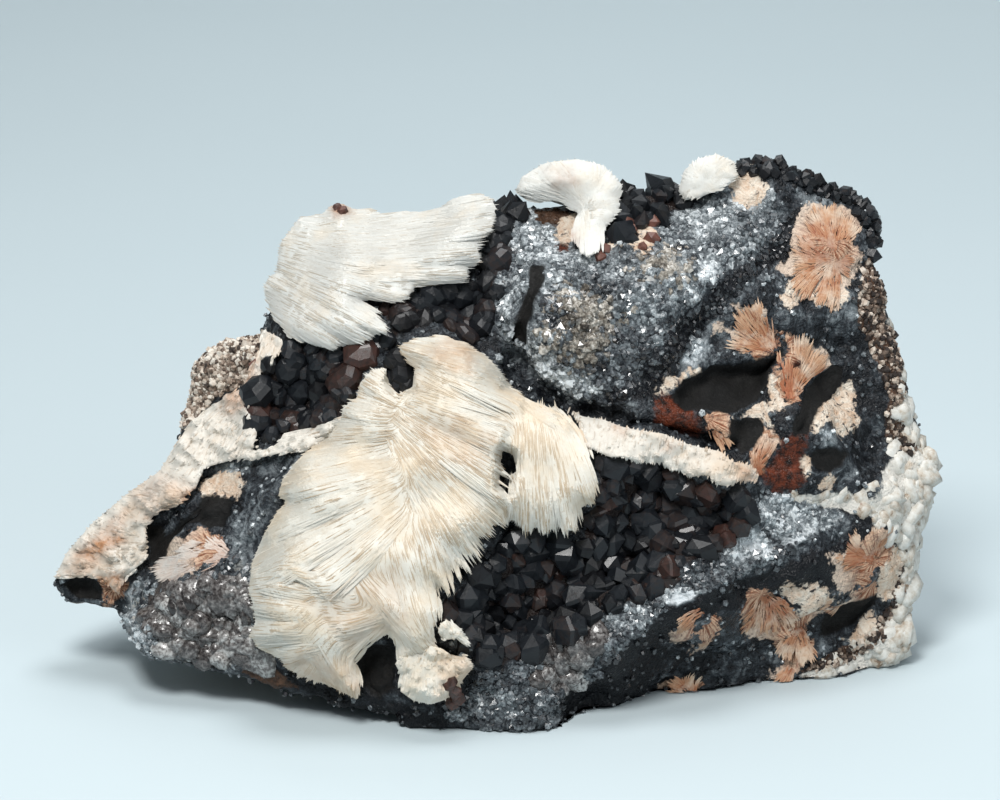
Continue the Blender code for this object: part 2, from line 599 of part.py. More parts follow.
def build():
    for old in list(bpy.data.objects):
        bpy.data.objects.remove(old)

    rock_finish = material("dark banded quartz rock", (0.10, 0.105, 0.11), 0.45)
    white_barite = material("white barite", (0.80, 0.77, 0.71), 0.55)
    cream_barite = material("cream barite", (0.74, 0.66, 0.56), 0.6)
    dark_quartz = material("dark coated quartz", (0.035, 0.03, 0.032), 0.28)

    matrix = make_matrix(rock_finish)
    face = BVHTree.FromObject(matrix, bpy.context.evaluated_depsgraph_get())

    main_crest = make_crest(
        "main_barite_crest", MAIN_CREST_OUTLINE, MAIN_CREST_FLOW, face, white_barite,
        thickness=0.013, overhang=0.004, spacing=10, tooth=7, crown=40,
    )
    carve(main_crest, matrix)
    upper_crest = make_crest(
        "upper_barite_crest", UPPER_CREST_OUTLINE, UPPER_CREST_FLOW, face, white_barite,
        thickness=0.012, overhang=0.009, spacing=12, tooth=7, crown=40,
    )
    carve(upper_crest, matrix)
    top_crest = make_crest(
        "top_barite_crest", TOP_CREST_OUTLINE, TOP_CREST_FLOW, face, white_barite,
        thickness=0.010, overhang=0.012, spacing=12, tooth=4, crown=30,
    )
    carve(top_crest, matrix)
    small_crest = make_crest(
        "small_barite_crest", SMALL_CREST_OUTLINE, SMALL_CREST_FLOW, face, white_barite,
        thickness=0.008, overhang=0.010, spacing=12, tooth=3, crown=24,
    )
    carve(small_crest, matrix)
    seam = make_crest(
        "barite_seam", SEAM_OUTLINE, SEAM_FLOW, face, cream_barite,
        thickness=0.004, overhang=0.001, spacing=11, tooth=4, crown=16,
    )
    carve(seam, matrix, main_crest)
    left_crust = make_crest(
        "left_barite_crust", LEFT_CRUST_OUTLINE, LEFT_CRUST_FLOW, face, cream_barite,
        thickness=0.005, overhang=0.006, spacing=12, tooth=4, crown=22,
    )
    carve(left_crust, matrix, main_crest, upper_crest)

    bowl = make_crystals(
        "bowl_quartz_crystals", BOWL_OUTLINE, face, dark_quartz, spacing=28, height=0.0045,
    )
    carve(bowl, matrix, main_crest, seam)
    pocket = make_crystals(
        "pocket_quartz_crystals", POCKET_OUTLINE, face, dark_quartz, spacing=26, height=0.0042,
    )
    carve(pocket, matrix, main_crest, upper_crest, left_crust)
    cluster = make_crystals(
        "top_quartz_cluster", TOP_CLUSTER_OUTLINE, face, dark_quartz, spacing=24, height=0.0055,
    )
    carve(cluster, matrix, top_crest, small_crest)


build()
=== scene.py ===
"""The barite specimen's looks: fans of white blades on dark quartz, in the frame of its solids.

Most places are given by pixels of a front view, 1000 by 800, that looks down a little on the specimen, and by
a depth behind the plane of that view. Lengths are in metres unless a name says otherwise, and +Z is up.
"""

import math

import bpy
import numpy as np
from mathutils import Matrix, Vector
from mathutils.bvhtree import BVHTree


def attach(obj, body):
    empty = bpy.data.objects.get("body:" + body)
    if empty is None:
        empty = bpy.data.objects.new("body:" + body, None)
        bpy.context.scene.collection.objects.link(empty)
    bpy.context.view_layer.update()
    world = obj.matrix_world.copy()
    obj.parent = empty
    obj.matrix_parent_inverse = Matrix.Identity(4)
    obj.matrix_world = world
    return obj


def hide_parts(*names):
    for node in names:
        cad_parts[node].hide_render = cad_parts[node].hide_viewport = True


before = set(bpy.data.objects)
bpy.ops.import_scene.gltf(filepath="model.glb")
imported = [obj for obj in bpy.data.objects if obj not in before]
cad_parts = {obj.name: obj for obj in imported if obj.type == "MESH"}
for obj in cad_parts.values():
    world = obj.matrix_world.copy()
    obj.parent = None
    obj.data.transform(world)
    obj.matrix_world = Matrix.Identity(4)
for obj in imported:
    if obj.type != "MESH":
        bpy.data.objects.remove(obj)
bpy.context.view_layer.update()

# The front view and the specimen's place in it, as the solids have them
WIDTH = 0.240
VIEW_DISTANCE = 1.10
VIEW_ELEVATION = math.radians(17)
METRES_PER_PX = WIDTH / 888
AXIS_PX = (500, 400)
FOOT_PX = (530, 731)
FOOT_DEPTH = -0.040
BODY_CENTRE_PX = (500, 450)
ACROSS_SHIFT = 0.0004
AWAY_SHIFT = 0.0166
BACK_DEPTH_AT_FOOT = 0.056
BACK_DEPTH_AT_TOP = 0.020
BACK_DEPTH_LOST_AT_LEFT_END = 0.022
EDGE_SQUARENESS = 3.0
RIM_MARGIN = 0.004
ARM_START = -0.026
ARM_SLOPE = 0.17
ARM_ROUNDING = 0.004
FOOT_STEP = 0.0006
MM = 0.001

# How finely things are made
ROCK_GRID = 222
SEAT_STEP_PX = 4
BODY_STEP_PX = 3
BODY_MARGIN_PX = 1.2
TOOTH_PX = 5

# Flat breaks across the rock's back and ends: heading and tilt of each in degrees, depth in millimetres
BREAKS = [
    (84, 12, 9), (118, 22, 11), (55, 8, 10), (20, 25, 9), (145, 2, 8), (98, 48, 9), (70, -28, 8), (35, 50, 8),
    (108, -20, 7),
]
BREAK_FLATNESS = 0.9

# Outlines on the front view, in pixels
MATRIX_OUTLINE = [
    (56, 582), (70, 604), (118, 613), (128, 640), (158, 663), (200, 673), (250, 686), (300, 696),
    (360, 714), (420, 729), (470, 738), (530, 744), (570, 736), (610, 722), (660, 706), (720, 703),
    (800, 699), (850, 682), (888, 662), (905, 640), (908, 600), (920, 560), (925, 530), (932, 500),
    (940, 465), (925, 448), (912, 415), (903, 385), (898, 350), (886, 315), (880, 280), (868, 262),
    (875, 228), (868, 205), (850, 192), (810, 178), (775, 166), (745, 164), (728, 180), (700, 188),
    (660, 192), (620, 204), (560, 206), (500, 210), (440, 228), (380, 238), (320, 245), (288, 270),
    (272, 310), (258, 340), (225, 343), (200, 362), (188, 400), (184, 440), (166, 477), (130, 502),
    (95, 532), (72, 557),
]
MAIN_CREST_OUTLINE = [
    (397, 345), (410, 337), (440, 333), (470, 342), (495, 360), (513, 384), (530, 398), (558, 404),
    (578, 425), (592, 455), (598, 486), (598, 500), (595, 518), (589, 508), (584, 514), (577, 547),
    (570, 537), (565, 545), (558, 533), (549, 538), (541, 545), (536, 534), (526, 547), (520, 532), (512, 526),
    (505, 541), (499, 531), (494, 549), (486, 541), (481, 547), (493, 567), (474, 561), (461, 558), (468, 571),
    (458, 567), (462, 582), (450, 573), (455, 604), (444, 594), (437, 588), (441, 612), (437, 632),
    (440, 648), (430, 660), (412, 666), (398, 662), (396, 650), (386, 638), (368, 647), (357, 661), (363, 692), (358, 704),
    (345, 697), (326, 688), (306, 681), (284, 671), (278, 661), (256, 651), (246, 635), (252, 622), (249, 604),
    (245, 592), (250, 563), (262, 534), (276, 510), (284, 502), (276, 497), (281, 478), (295, 460), (306, 450),
    (325, 436), (336, 418), (338, 405), (352, 395), (355, 381), (368, 366), (388, 361), (398, 372), (410, 368),
    (399, 356),
]
RIGHT_FOOT_OUTLINE = [
    (398, 654), (412, 646), (430, 643), (443, 646), (456, 655), (468, 654), (477, 667), (466, 680), (456, 696),
    (444, 703), (431, 707), (412, 703), (397, 692), (400, 678), (392, 664),
]
WHITE_LUMP_OUTLINE = [
    (438, 622), (446, 617), (456, 621), (464, 628), (469, 638), (475, 649), (468, 648), (457, 641), (442, 643),
    (435, 633),
]
UPPER_CREST_OUTLINE = [
    (260, 286), (266, 274), (273, 271), (274, 262), (279, 240), (288, 230), (298, 217), (320, 213), (330, 204),
    (346, 203), (354, 208), (372, 209), (388, 214), (410, 212), (434, 212), (450, 200), (476, 192), (494, 195),
    (502, 211), (497, 229), (482, 245), (487, 264), (472, 270), (472, 284), (436, 288), (420, 288), (410, 301),
    (392, 303), (365, 302), (380, 312), (384, 322), (396, 335), (378, 338), (362, 347), (330, 350), (316, 347),
    (288, 338), (274, 322), (266, 306),
]
TOP_CREST_OUTLINE = [
    (512, 192), (520, 175), (545, 161), (577, 157), (605, 164), (624, 184), (621, 210), (608, 231),
    (600, 256), (585, 262), (568, 240), (575, 215), (560, 203), (530, 202),
]
SMALL_CREST_OUTLINE = [
    (676, 192), (682, 170), (697, 157), (717, 152), (736, 160), (740, 178), (726, 188), (700, 200),
    (684, 203),
]
LEFT_CRUST_OUTLINE = [
    (50, 582), (64, 552), (90, 522), (124, 493), (158, 469), (175, 442), (186, 424), (213, 402),
    (240, 386), (256, 355), (260, 325), (284, 336), (285, 352), (266, 368), (260, 384), (249, 408), (256, 424),
    (260, 434), (255, 448), (268, 447), (277, 440), (282, 431), (299, 427), (318, 424), (336, 416), (350, 408), (350, 426),
    (330, 441), (306, 452), (284, 455), (262, 460), (235, 462), (206, 470),
    (198, 490), (182, 502), (160, 512), (148, 530), (150, 560), (127, 580), (118, 598), (100, 580),
    (75, 577),
]
SEAM_OUTLINE = [
    (560, 404), (584, 414), (604, 417), (622, 424), (640, 428), (664, 431), (683, 440), (701, 445),
    (722, 449), (733, 459), (751, 463), (760, 474), (758, 485), (742, 483), (728, 489), (716, 487), (707, 477),
    (690, 480), (680, 473), (668, 473), (662, 464), (640, 466), (622, 459), (610, 460), (592, 452), (584, 448),
    (580, 425),
]
BOWL_OUTLINE = [
    (600, 456), (655, 470), (700, 482), (742, 492), (752, 512), (735, 535), (705, 552), (672, 575),
    (635, 600), (590, 618), (540, 648), (500, 664), (462, 640), (442, 612), (455, 592), (498, 560),
    (512, 536), (560, 540), (582, 545), (597, 510), (600, 480),
]
POCKET_OUTLINE = [
    (256, 402), (266, 380), (290, 352), (330, 352), (366, 346), (396, 333), (378, 308), (404, 304),
    (432, 291), (482, 286), (486, 262), (496, 232), (503, 215), (512, 225), (500, 262), (492, 300),
    (480, 335), (466, 340), (440, 330), (408, 334), (394, 346), (366, 362), (350, 392), (342, 418),
    (326, 424), (300, 434), (268, 442), (254, 422),
]
TOP_CLUSTER_OUTLINE = [
    (612, 205), (622, 188), (640, 181), (660, 178), (674, 188), (690, 192), (695, 204), (665, 212),
    (650, 232), (636, 246), (612, 238), (604, 228),
]
QUARTZ_DOME_OUTLINE = [
    (505, 215), (530, 203), (562, 206), (600, 230), (650, 222), (690, 205), (745, 192), (790, 215),
    (800, 235), (770, 270), (738, 300), (706, 330), (688, 362), (665, 388), (625, 400), (580, 400),
    (548, 386), (520, 362), (500, 335), (494, 290), (498, 250),
]
FOOT_BAND_OUTLINE = [
    (440, 720), (500, 670), (590, 626), (680, 580), (760, 540), (830, 520), (870, 520), (800, 560),
    (720, 610), (650, 660), (600, 705), (530, 728),
]
BLACK_LENS_OUTLINE = [
    (672, 396), (684, 380), (709, 366), (738, 361), (762, 355), (786, 349), (781, 362), (766, 386), (755, 399),
    (731, 411), (705, 410), (684, 410),
]
FISSURE_OUTLINE = [
    (498, 340), (520, 352), (552, 384), (600, 404), (650, 416), (700, 424), (745, 444), (738, 458),
    (690, 442), (640, 432), (590, 424), (540, 404), (512, 374),
]
BROKEN_CORNER_OUTLINE = [
    (610, 715), (650, 680), (700, 640), (760, 592), (820, 556), (890, 530), (930, 560), (910, 660),
    (850, 700), (720, 715),
]

# Depths of the rock's face and of its silhouette: pixel across, pixel down, millimetres behind the plane
FACE_DEPTHS = [
    (60, 580, -8), (100, 595, -15), (160, 640, -26), (130, 530, -12), (200, 600, -34), (200, 500, -22),
    (300, 680, -34), (300, 600, -42), (300, 500, -36), (200, 400, -6), (250, 430, -22), (350, 400, -30),
    (350, 300, -22), (300, 250, -10), (400, 600, -45), (420, 715, -42), (450, 450, -37), (450, 250, -17),
    (500, 640, -46), (530, 728, -40), (600, 640, -42), (600, 700, -28), (600, 500, -37), (550, 330, -27),
    (700, 600, -38), (700, 680, -16), (700, 450, -31), (650, 300, -23), (600, 220, -9), (700, 200, -4),
    (800, 570, -28), (800, 670, -11), (870, 640, -4), (870, 520, -17), (900, 450, -8), (800, 450, -24),
    (750, 320, -17), (800, 250, -9), (850, 200, 0), (850, 350, -10),
]
RIM_DEPTHS = [
    (56, 582, 0), (100, 607, -6), (160, 663, -20), (230, 680, -25), (300, 696, -28), (360, 714, -33),
    (420, 729, -38), (530, 744, -38), (600, 724, -22), (660, 706, -10), (800, 699, -2), (900, 640, 6),
    (940, 465, 8), (870, 230, 8), (745, 164, 7), (600, 205, 6), (440, 228, 6), (300, 255, 6),
    (225, 343, 8), (166, 477, 4), (95, 532, 2),
]

# Patches of the rock's face, in pixels
BLACK_VOIDS = [
    BLACK_LENS_OUTLINE,
    [(833, 368), (844, 366), (842, 375), (822, 405), (807, 437), (790, 440), (787, 427), (800, 405), (807, 388)],
    [(733, 419), (746, 422), (761, 418), (764, 431), (753, 448), (742, 457), (733, 448), (729, 437)],
    [(814, 449), (830, 446), (845, 452), (840, 466), (828, 474), (812, 468)],
    [(818, 636), (824, 616), (832, 605), (855, 595), (875, 592), (875, 603), (862, 617), (850, 627), (832, 633)],
    [(195, 509), (207, 494), (234, 499), (234, 521), (227, 533), (210, 536), (195, 526)],
    [(144, 523), (166, 526), (166, 536), (192, 513), (202, 520), (178, 543), (164, 560), (149, 567), (151, 543)],
    [(64, 586), (71, 577), (88, 577), (98, 588), (98, 606), (88, 608), (74, 599)],
    [(358, 655), (376, 645), (394, 650), (396, 690), (380, 702), (364, 690), (356, 674)],
    [(529, 264), (546, 266), (542, 290), (533, 318), (522, 345), (511, 342), (518, 315), (528, 290)],
]
ORANGE_PATCHES = [
    [
        (799, 210), (813, 204), (835, 206), (852, 210), (858, 223), (856, 232), (848, 243), (857, 254),
        (858, 269), (852, 282), (840, 290), (820, 292), (806, 286), (796, 276), (782, 276), (778, 266),
        (790, 257), (793, 242), (793, 232),
    ],
    [
        (725, 298), (737, 303), (748, 310), (765, 308), (762, 320), (774, 333), (779, 346), (766, 351),
        (756, 354), (744, 348), (733, 338), (731, 329), (742, 327), (744, 320), (733, 312),
    ],
    [(711, 324), (722, 322), (725, 331), (714, 333)],
    [
        (787, 331), (800, 342), (813, 341), (826, 348), (832, 361), (828, 369), (805, 379), (796, 405),
        (787, 401), (779, 388), (774, 377), (783, 361), (789, 348), (785, 333),
    ],
    [(704, 414), (716, 410), (728, 414), (733, 421), (731, 439), (722, 440), (713, 429), (706, 426)],
    [(763, 428), (779, 433), (782, 442), (770, 459), (766, 473), (755, 473), (750, 463), (751, 450), (757, 439)],
    [
        (832, 556), (850, 546), (869, 532), (891, 528), (894, 546), (887, 561), (867, 571), (864, 581),
        (842, 590), (830, 583), (830, 571),
    ],
    [(754, 592), (771, 592), (786, 607), (803, 620), (788, 628), (776, 638), (756, 635), (741, 632), (742, 620)],
    [(874, 577), (877, 588), (838, 603), (815, 620), (791, 638), (780, 632), (800, 622), (820, 609), (850, 592)],
    [(770, 640), (776, 632), (800, 629), (812, 640), (818, 656), (801, 665), (790, 682), (777, 688), (768, 679),
     (774, 670), (783, 668), (786, 655), (774, 648)],
    [(671, 633), (683, 622), (694, 618), (692, 628), (684, 640), (676, 646), (671, 638)],
    [(697, 640), (702, 628), (716, 614), (722, 618), (718, 632), (700, 644), (686, 652)],
    [(661, 689), (668, 681), (688, 678), (701, 684), (692, 692), (677, 693)],
    [(144, 572), (166, 564), (170, 547), (190, 545), (200, 535), (222, 540), (229, 551), (219, 561), (176, 577)],
    [(96, 577), (118, 575), (128, 584), (120, 606), (104, 609), (98, 596)],
]
CREAM_PATCHES = [
    [(614, 222), (622, 214), (640, 216), (654, 226), (656, 244), (644, 256), (628, 250), (640, 240), (634, 230)],
    [(598, 250), (612, 243), (620, 252), (606, 258)],
    [(784, 310), (781, 296), (786, 284), (800, 278), (815, 288), (835, 290), (848, 290), (845, 303), (830, 310),
     (812, 306), (802, 299), (792, 309)],
    [(697, 368), (699, 377), (680, 384), (662, 394), (655, 390), (666, 379), (682, 372)],
    [(733, 175), (750, 170), (764, 175), (768, 190), (762, 203), (748, 209), (735, 204), (730, 190)],
    [
        (857, 378), (861, 394), (856, 407), (860, 420), (852, 434), (841, 438), (835, 430), (828, 420),
        (814, 434), (811, 424), (818, 405), (829, 400), (835, 390), (844, 381),
    ],
    [(735, 418), (753, 409), (768, 396), (776, 404), (768, 416), (771, 427), (763, 420), (756, 414), (744, 421)],
    [(768, 378), (778, 380), (790, 405), (782, 410), (772, 398)],
    [(798, 459), (809, 457), (812, 468), (805, 481), (799, 472)],
    [(817, 479), (829, 474), (836, 479), (833, 490), (821, 488)],
    [(781, 593), (791, 583), (806, 583), (828, 586), (831, 600), (820, 608), (806, 618), (795, 617), (800, 605)],
    [(874, 555), (896, 548), (914, 551), (908, 575), (896, 598), (878, 596), (876, 580)],
    [(200, 478), (216, 472), (240, 474), (246, 490), (236, 499), (212, 499), (198, 494)],
    [(560, 216), (574, 214), (576, 236), (564, 244), (556, 232)],
    [(838, 638), (856, 632), (863, 610), (871, 609), (875, 620), (868, 641), (850, 645)],
]
SANDY_PATCHES = [
    [
        (181, 404), (186, 385), (196, 366), (214, 344), (241, 340), (260, 334), (262, 352), (248, 370),
        (239, 384), (219, 394), (208, 400), (195, 420), (184, 432),
    ],
]
BROWN_PATCHES = [
    [
        (865, 258), (880, 262), (884, 290), (884, 322), (897, 333), (901, 355), (899, 368), (903, 388),
        (904, 420), (919, 451), (908, 455), (889, 440), (885, 416), (889, 399), (884, 377), (876, 356),
        (869, 334), (857, 325), (856, 307), (860, 281),
    ],
    [(911, 548), (916, 556), (902, 598), (880, 640), (852, 660), (812, 672), (800, 672), (840, 648), (872, 630), (896, 590)],
    [(534, 204), (562, 202), (574, 212), (572, 244), (564, 246), (560, 222), (536, 222)],
    [(246, 640), (270, 664), (300, 690), (270, 690), (240, 680)],
]
RIND_PATCHES = [
    [
        (884, 316), (892, 320), (900, 352), (911, 368), (914, 388), (909, 402), (914, 427), (930, 448),
        (946, 458), (946, 472), (934, 486), (930, 500), (908, 506), (899, 528), (874, 525), (871, 517),
        (842, 510), (815, 504), (800, 497), (830, 495), (845, 490), (867, 499), (880, 496), (880, 474),
        (890, 461), (907, 453), (916, 455), (903, 424), (901, 390), (896, 368), (899, 355), (895, 334),
    ],
    [
        (906, 495), (938, 478), (934, 514), (926, 540), (914, 551), (930, 561), (926, 584), (910, 598), (912, 618),
        (910, 640), (896, 655), (876, 676), (850, 673), (847, 661), (876, 640), (888, 617), (904, 590), (912, 560),
        (900, 553), (898, 527),
    ],
    [(799, 676), (830, 664), (850, 660), (842, 676), (820, 690), (800, 692)],
]
RUST_PATCHES = [
    [
        (787, 434), (805, 434), (803, 453), (800, 463), (805, 481), (796, 493), (774, 493), (761, 479),
        (768, 463), (779, 448),
    ],
    [(655, 404), (664, 394), (676, 398), (690, 410), (706, 428), (690, 436), (668, 430), (655, 418)],
    [(786, 362), (795, 364), (796, 388), (788, 390)], [(82, 556), (95, 538), (124, 534), (125, 545), (105, 556)],
    [(560, 238), (570, 236), (570, 250), (560, 250)],
]

# Paler and darker parts of the quartz, in pixels: outline, change of paleness, width of its soft border. Two of the
# darker ones are painted shade: the dome's lower right flank and the step along its right edge.
PALENESS_AND_PAINTED_SHADE = [
    (QUARTZ_DOME_OUTLINE, 0.34, 26), (FOOT_BAND_OUTLINE, 0.18, 24),
    ([(122, 600), (142, 582), (176, 576), (219, 562), (248, 562), (252, 640), (282, 668), (238, 676), (142, 652)],
     0.27, 26),
    ([(756, 507), (770, 494), (791, 493), (810, 499), (844, 513), (838, 527), (818, 529), (800, 542), (769, 530)],
     0.50, 8),
    ([(710, 544), (727, 536), (747, 527), (765, 531), (774, 550), (769, 561), (752, 554), (737, 561), (722, 554)],
     0.60, 8),
    ([(684, 545), (695, 545), (696, 557), (687, 555)], 0.7, 5),
    ([(657, 592), (673, 587), (698, 592), (696, 603), (683, 608), (665, 605)], 0.7, 7),
    ([(584, 612), (609, 600), (646, 598), (653, 608), (634, 628), (609, 630), (589, 627)], 0.25, 14),
    ([(500, 328), (530, 330), (560, 365), (600, 385), (612, 400), (575, 402), (530, 372), (505, 345)], 0.42, 14),
    ([(515, 215), (556, 215), (570, 250), (560, 275), (545, 262), (520, 262)], 0.22, 20),
    ([(690, 212), (720, 206), (745, 215), (738, 240), (700, 250), (686, 235)], 0.16, 18),
    ([(700, 256), (716, 264), (712, 284), (698, 280)], 0.45, 7), ([(640, 262), (680, 252), (690, 270), (650, 282)], 0.25, 12),
    # painted shade: the dome's lower right flank, turned from the light, is darkened
    ([(612, 330), (660, 320), (690, 300), (700, 330), (668, 370), (640, 392), (600, 392), (590, 370)], -0.20, 26),
    # painted shade: a dark band in the step under the dome's right edge
    (
        [
            (801, 206), (795, 255), (765, 268), (742, 285), (722, 305), (702, 330), (684, 345), (672, 372),
            (655, 398), (606, 402), (585, 396), (640, 383), (655, 360), (668, 338), (690, 312), (715, 285),
            (740, 266), (770, 245), (790, 215),
        ], -0.60, 10,
    ),
    ([(700, 330), (712, 312), (735, 325), (745, 345), (752, 362), (725, 368), (700, 372), (690, 362)], 0.14, 10),
    ([(684, 345), (700, 333), (704, 350), (696, 372), (684, 380), (680, 362)], 0.45, 8),
    ([(800, 194), (848, 194), (846, 206), (801, 206)], 0.32, 8),
    ([(728, 172), (768, 168), (774, 200), (752, 214), (728, 210)], 0.18, 10),
    ([(780, 310), (850, 308), (862, 330), (820, 338), (800, 326)], 0.16, 14),
    ([(836, 462), (852, 458), (858, 476), (842, 480)], 0.34, 8), ([(818, 432), (832, 430), (834, 446), (820, 448)], 0.5, 6),
    ([(205, 470), (225, 462), (258, 458), (250, 474), (222, 480)], 0.36, 8),
    ([(122, 600), (128, 586), (142, 582), (142, 600), (140, 640), (150, 655), (128, 642), (121, 625)], 0.40, 12),
    ([(560, 718), (560, 684), (592, 671), (621, 652), (653, 637), (668, 652), (634, 698), (597, 711)], -0.55, 10),
    (
        [
            (641, 635), (670, 608), (707, 593), (751, 583), (805, 560), (874, 531), (872, 540), (833, 556),
            (832, 585), (782, 590), (732, 607), (690, 622), (634, 657), (592, 688), (560, 716), (600, 670),
        ], -0.60, 6,
    ),
    ([(732, 671), (747, 652), (757, 640), (774, 644), (781, 657), (764, 664), (759, 689), (732, 687)], 0.16, 8),
    ([(246, 635), (282, 671), (240, 676), (225, 640)], -0.30, 10),
    ([(300, 690), (360, 690), (440, 720), (430, 730), (350, 715)], -0.25, 10),
    ([(206, 468), (240, 458), (304, 452), (284, 500), (264, 535), (246, 566), (232, 545), (244, 505), (236, 474)],
     0.24, 12),
    ([(780, 268), (800, 300), (786, 330), (760, 300), (738, 290)], 0.14, 12),
    ([(470, 688), (520, 688), (516, 718), (474, 714)], 0.22, 16),
]
WARM_QUARTZ = [
    [(556, 300), (600, 295), (618, 320), (604, 345), (585, 372), (560, 350), (552, 322)],
    [(640, 255), (680, 250), (690, 272), (650, 282)], [(125, 600), (240, 570), (252, 640), (200, 672), (140, 645)],
]
GREY_QUARTZ_PATCHES = [
    QUARTZ_DOME_OUTLINE,
    [(754, 508), (770, 493), (800, 492), (830, 503), (846, 514), (836, 530), (801, 543), (772, 536)],
    [
        (440, 705), (470, 680), (520, 665), (580, 640), (630, 610), (662, 585), (710, 542), (747, 526), (775, 535),
        (800, 545), (806, 556), (750, 580), (707, 590), (670, 606), (640, 632), (600, 668), (562, 680),
        (560, 720), (520, 728), (470, 726),
    ],
    [(122, 600), (142, 582), (176, 576), (219, 562), (248, 562), (250, 640), (270, 666), (238, 676), (142, 652)],
]
RIM_STRIP = [
    (735, 158), (760, 156), (780, 166), (840, 180), (868, 192), (882, 226), (874, 256), (866, 256), (868, 226),
    (852, 204), (830, 196), (790, 186), (770, 178), (740, 176),
]
SMOKY_OUTLINES = [
    [(150, 600), (190, 585), (246, 575), (250, 640), (262, 664), (220, 668), (170, 650), (150, 630)],
    [(560, 622), (590, 625), (600, 650), (575, 680), (560, 690), (540, 680)],
]
CRYSTAL_BEDS = [BOWL_OUTLINE, POCKET_OUTLINE, TOP_CLUSTER_OUTLINE]
RUSTY_CRYSTALS_PX = [
    (632, 229), (651, 223), (652, 239), (643, 247), (604, 249), (600, 258), (628, 222), (258, 366), (262, 362),
]
FAN_CENTRES = [
    (831, 243), (790, 398), (774, 352), (840, 410), (752, 470), (872, 560), (764, 597), (796, 640), (874, 580),
    (702, 612), (688, 692), (222, 556), (706, 418), (112, 590),
]

# Reliefs of the rock's face: outline, how far it stands out (negative is hollow), its slope's width in pixels
FACE_RELIEFS = [
    (QUARTZ_DOME_OUTLINE, 0.0070, 45),
    (BOWL_OUTLINE, -0.0085, 32),
    (POCKET_OUTLINE, -0.0075, 26),
    (FOOT_BAND_OUTLINE, 0.0045, 30),
    (BLACK_LENS_OUTLINE, -0.0045, 14),
    (FISSURE_OUTLINE, -0.0050, 9),
    (BROKEN_CORNER_OUTLINE, -0.0050, 16),
]
FINE_RELIEFS = [(outline, -0.0022, 5) for outline in BLACK_VOIDS] + [(FISSURE_OUTLINE, -0.0015, 5)]

# The crests' sheaves of blades: root and tip in pixels, half widths there in pixels, lift in millimetres, and how
# ragged the tips are, in pixels
MAIN_CREST_SHEAVES = [
    (402, 348, 507, 380, 6, 22, 3.0, 3), (410, 362, 524, 408, 5, 13, 2.0, 5), (405, 405, 362, 376, 8, 14, 1.5, 6),
    (400, 418, 338, 408, 8, 14, 1.2, 6), (395, 432, 322, 436, 8, 14, 1.3, 4), (385, 445, 288, 464, 8, 16, 1.6, 1),
    (400, 400, 505, 440, 10, 20, 2.0, 5), (395, 415, 510, 492, 10, 22, 2.0, 9), (399, 440, 500, 548, 12, 24, 1.8, 10),
    (405, 460, 478, 578, 12, 22, 1.5, 10), (410, 490, 455, 600, 12, 18, 1.4, 6), (522, 415, 520, 536, 8, 14, 1.6, 7),
    (535, 408, 545, 545, 10, 16, 1.9, 8), (548, 408, 574, 540, 10, 16, 1.9, 8), (560, 408, 596, 500, 10, 14, 1.5, 4),
    (515, 398, 572, 428, 6, 12, 1.2, 3), (398, 468, 284, 494, 10, 18, 2.0, 1), (400, 480, 262, 532, 10, 20, 2.3, 1),
    (405, 492, 250, 578, 10, 22, 2.3, 1), (412, 510, 316, 592, 8, 20, 2.0, 3), (398, 545, 428, 638, 12, 18, 1.8, 4),
    (358, 575, 420, 642, 8, 14, 1.5, 3), (425, 550, 438, 628, 10, 10, 1.5, 4), (335, 600, 252, 582, 10, 10, 1.8, 4),
    (340, 618, 247, 604, 10, 12, 1.6, 4), (345, 632, 248, 632, 10, 12, 1.5, 3), (345, 645, 272, 658, 8, 12, 1.3, 3),
    (340, 598, 285, 565, 6, 8, 2.0, 3), (300, 605, 345, 682, 14, 20, 1.6, 3), (390, 620, 345, 668, 8, 10, 1.7, 4),
    (400, 610, 335, 630, 8, 12, 1.5, 3), (405, 632, 440, 668, 10, 14, 1.2, 4), (400, 640, 402, 672, 6, 10, 1.0, 4),
    (320, 655, 300, 682, 14, 18, 1.0, 3), (345, 665, 350, 694, 10, 12, 1.2, 3),
]
UPPER_CREST_SHEAVES = [
    (330, 232, 503, 206, 14, 11, 2.0, 4), (335, 248, 502, 226, 12, 11, 2.2, 6), (335, 262, 490, 250, 12, 13, 2.0, 6),
    (345, 273, 485, 276, 8, 10, 1.6, 5), (330, 282, 410, 301, 6, 8, 1.2, 4), (282, 276, 396, 334, 12, 13, 2.2, 5),
    (272, 292, 372, 344, 12, 12, 2.0, 4), (266, 304, 340, 349, 9, 12, 1.8, 2), (278, 240, 380, 262, 12, 16, 1.8, 2),
    (276, 262, 372, 292, 10, 14, 1.6, 3), (300, 222, 400, 236, 12, 14, 1.2, 1), (370, 220, 470, 204, 12, 12, 1.0, 1),
]
TOP_CREST_SHEAVES = [
    (580, 205, 515, 188, 8, 15, 1.2, 2), (582, 200, 545, 163, 8, 18, 1.4, 1), (588, 200, 583, 157, 8, 20, 1.4, 1),
    (592, 206, 622, 176, 8, 17, 1.2, 1), (590, 212, 623, 206, 8, 16, 1.0, 2), (590, 212, 592, 260, 10, 14, 1.2, 4),
]
SMALL_CREST_SHEAVES = [
    (704, 186, 680, 174, 6, 14, 1.0, 1), (706, 182, 704, 154, 6, 16, 1.2, 1), (710, 182, 736, 164, 6, 14, 1.0, 1),
    (708, 186, 732, 184, 6, 10, 0.8, 1), (702, 188, 690, 202, 6, 10, 0.8, 2),
]
RIGHT_FOOT_SHEAVES = [
    (416, 650, 404, 694, 8, 12, 0.8, 2), (430, 652, 430, 705, 10, 12, 1.0, 2), (440, 654, 456, 694, 8, 12, 0.8, 2),
    (446, 660, 474, 668, 6, 10, 0.8, 2),
]
WHITE_LUMP_SHEAVES = [(452, 634, 442, 620, 4, 8, 0.5, 2), (454, 634, 472, 648, 4, 7, 0.5, 2)]
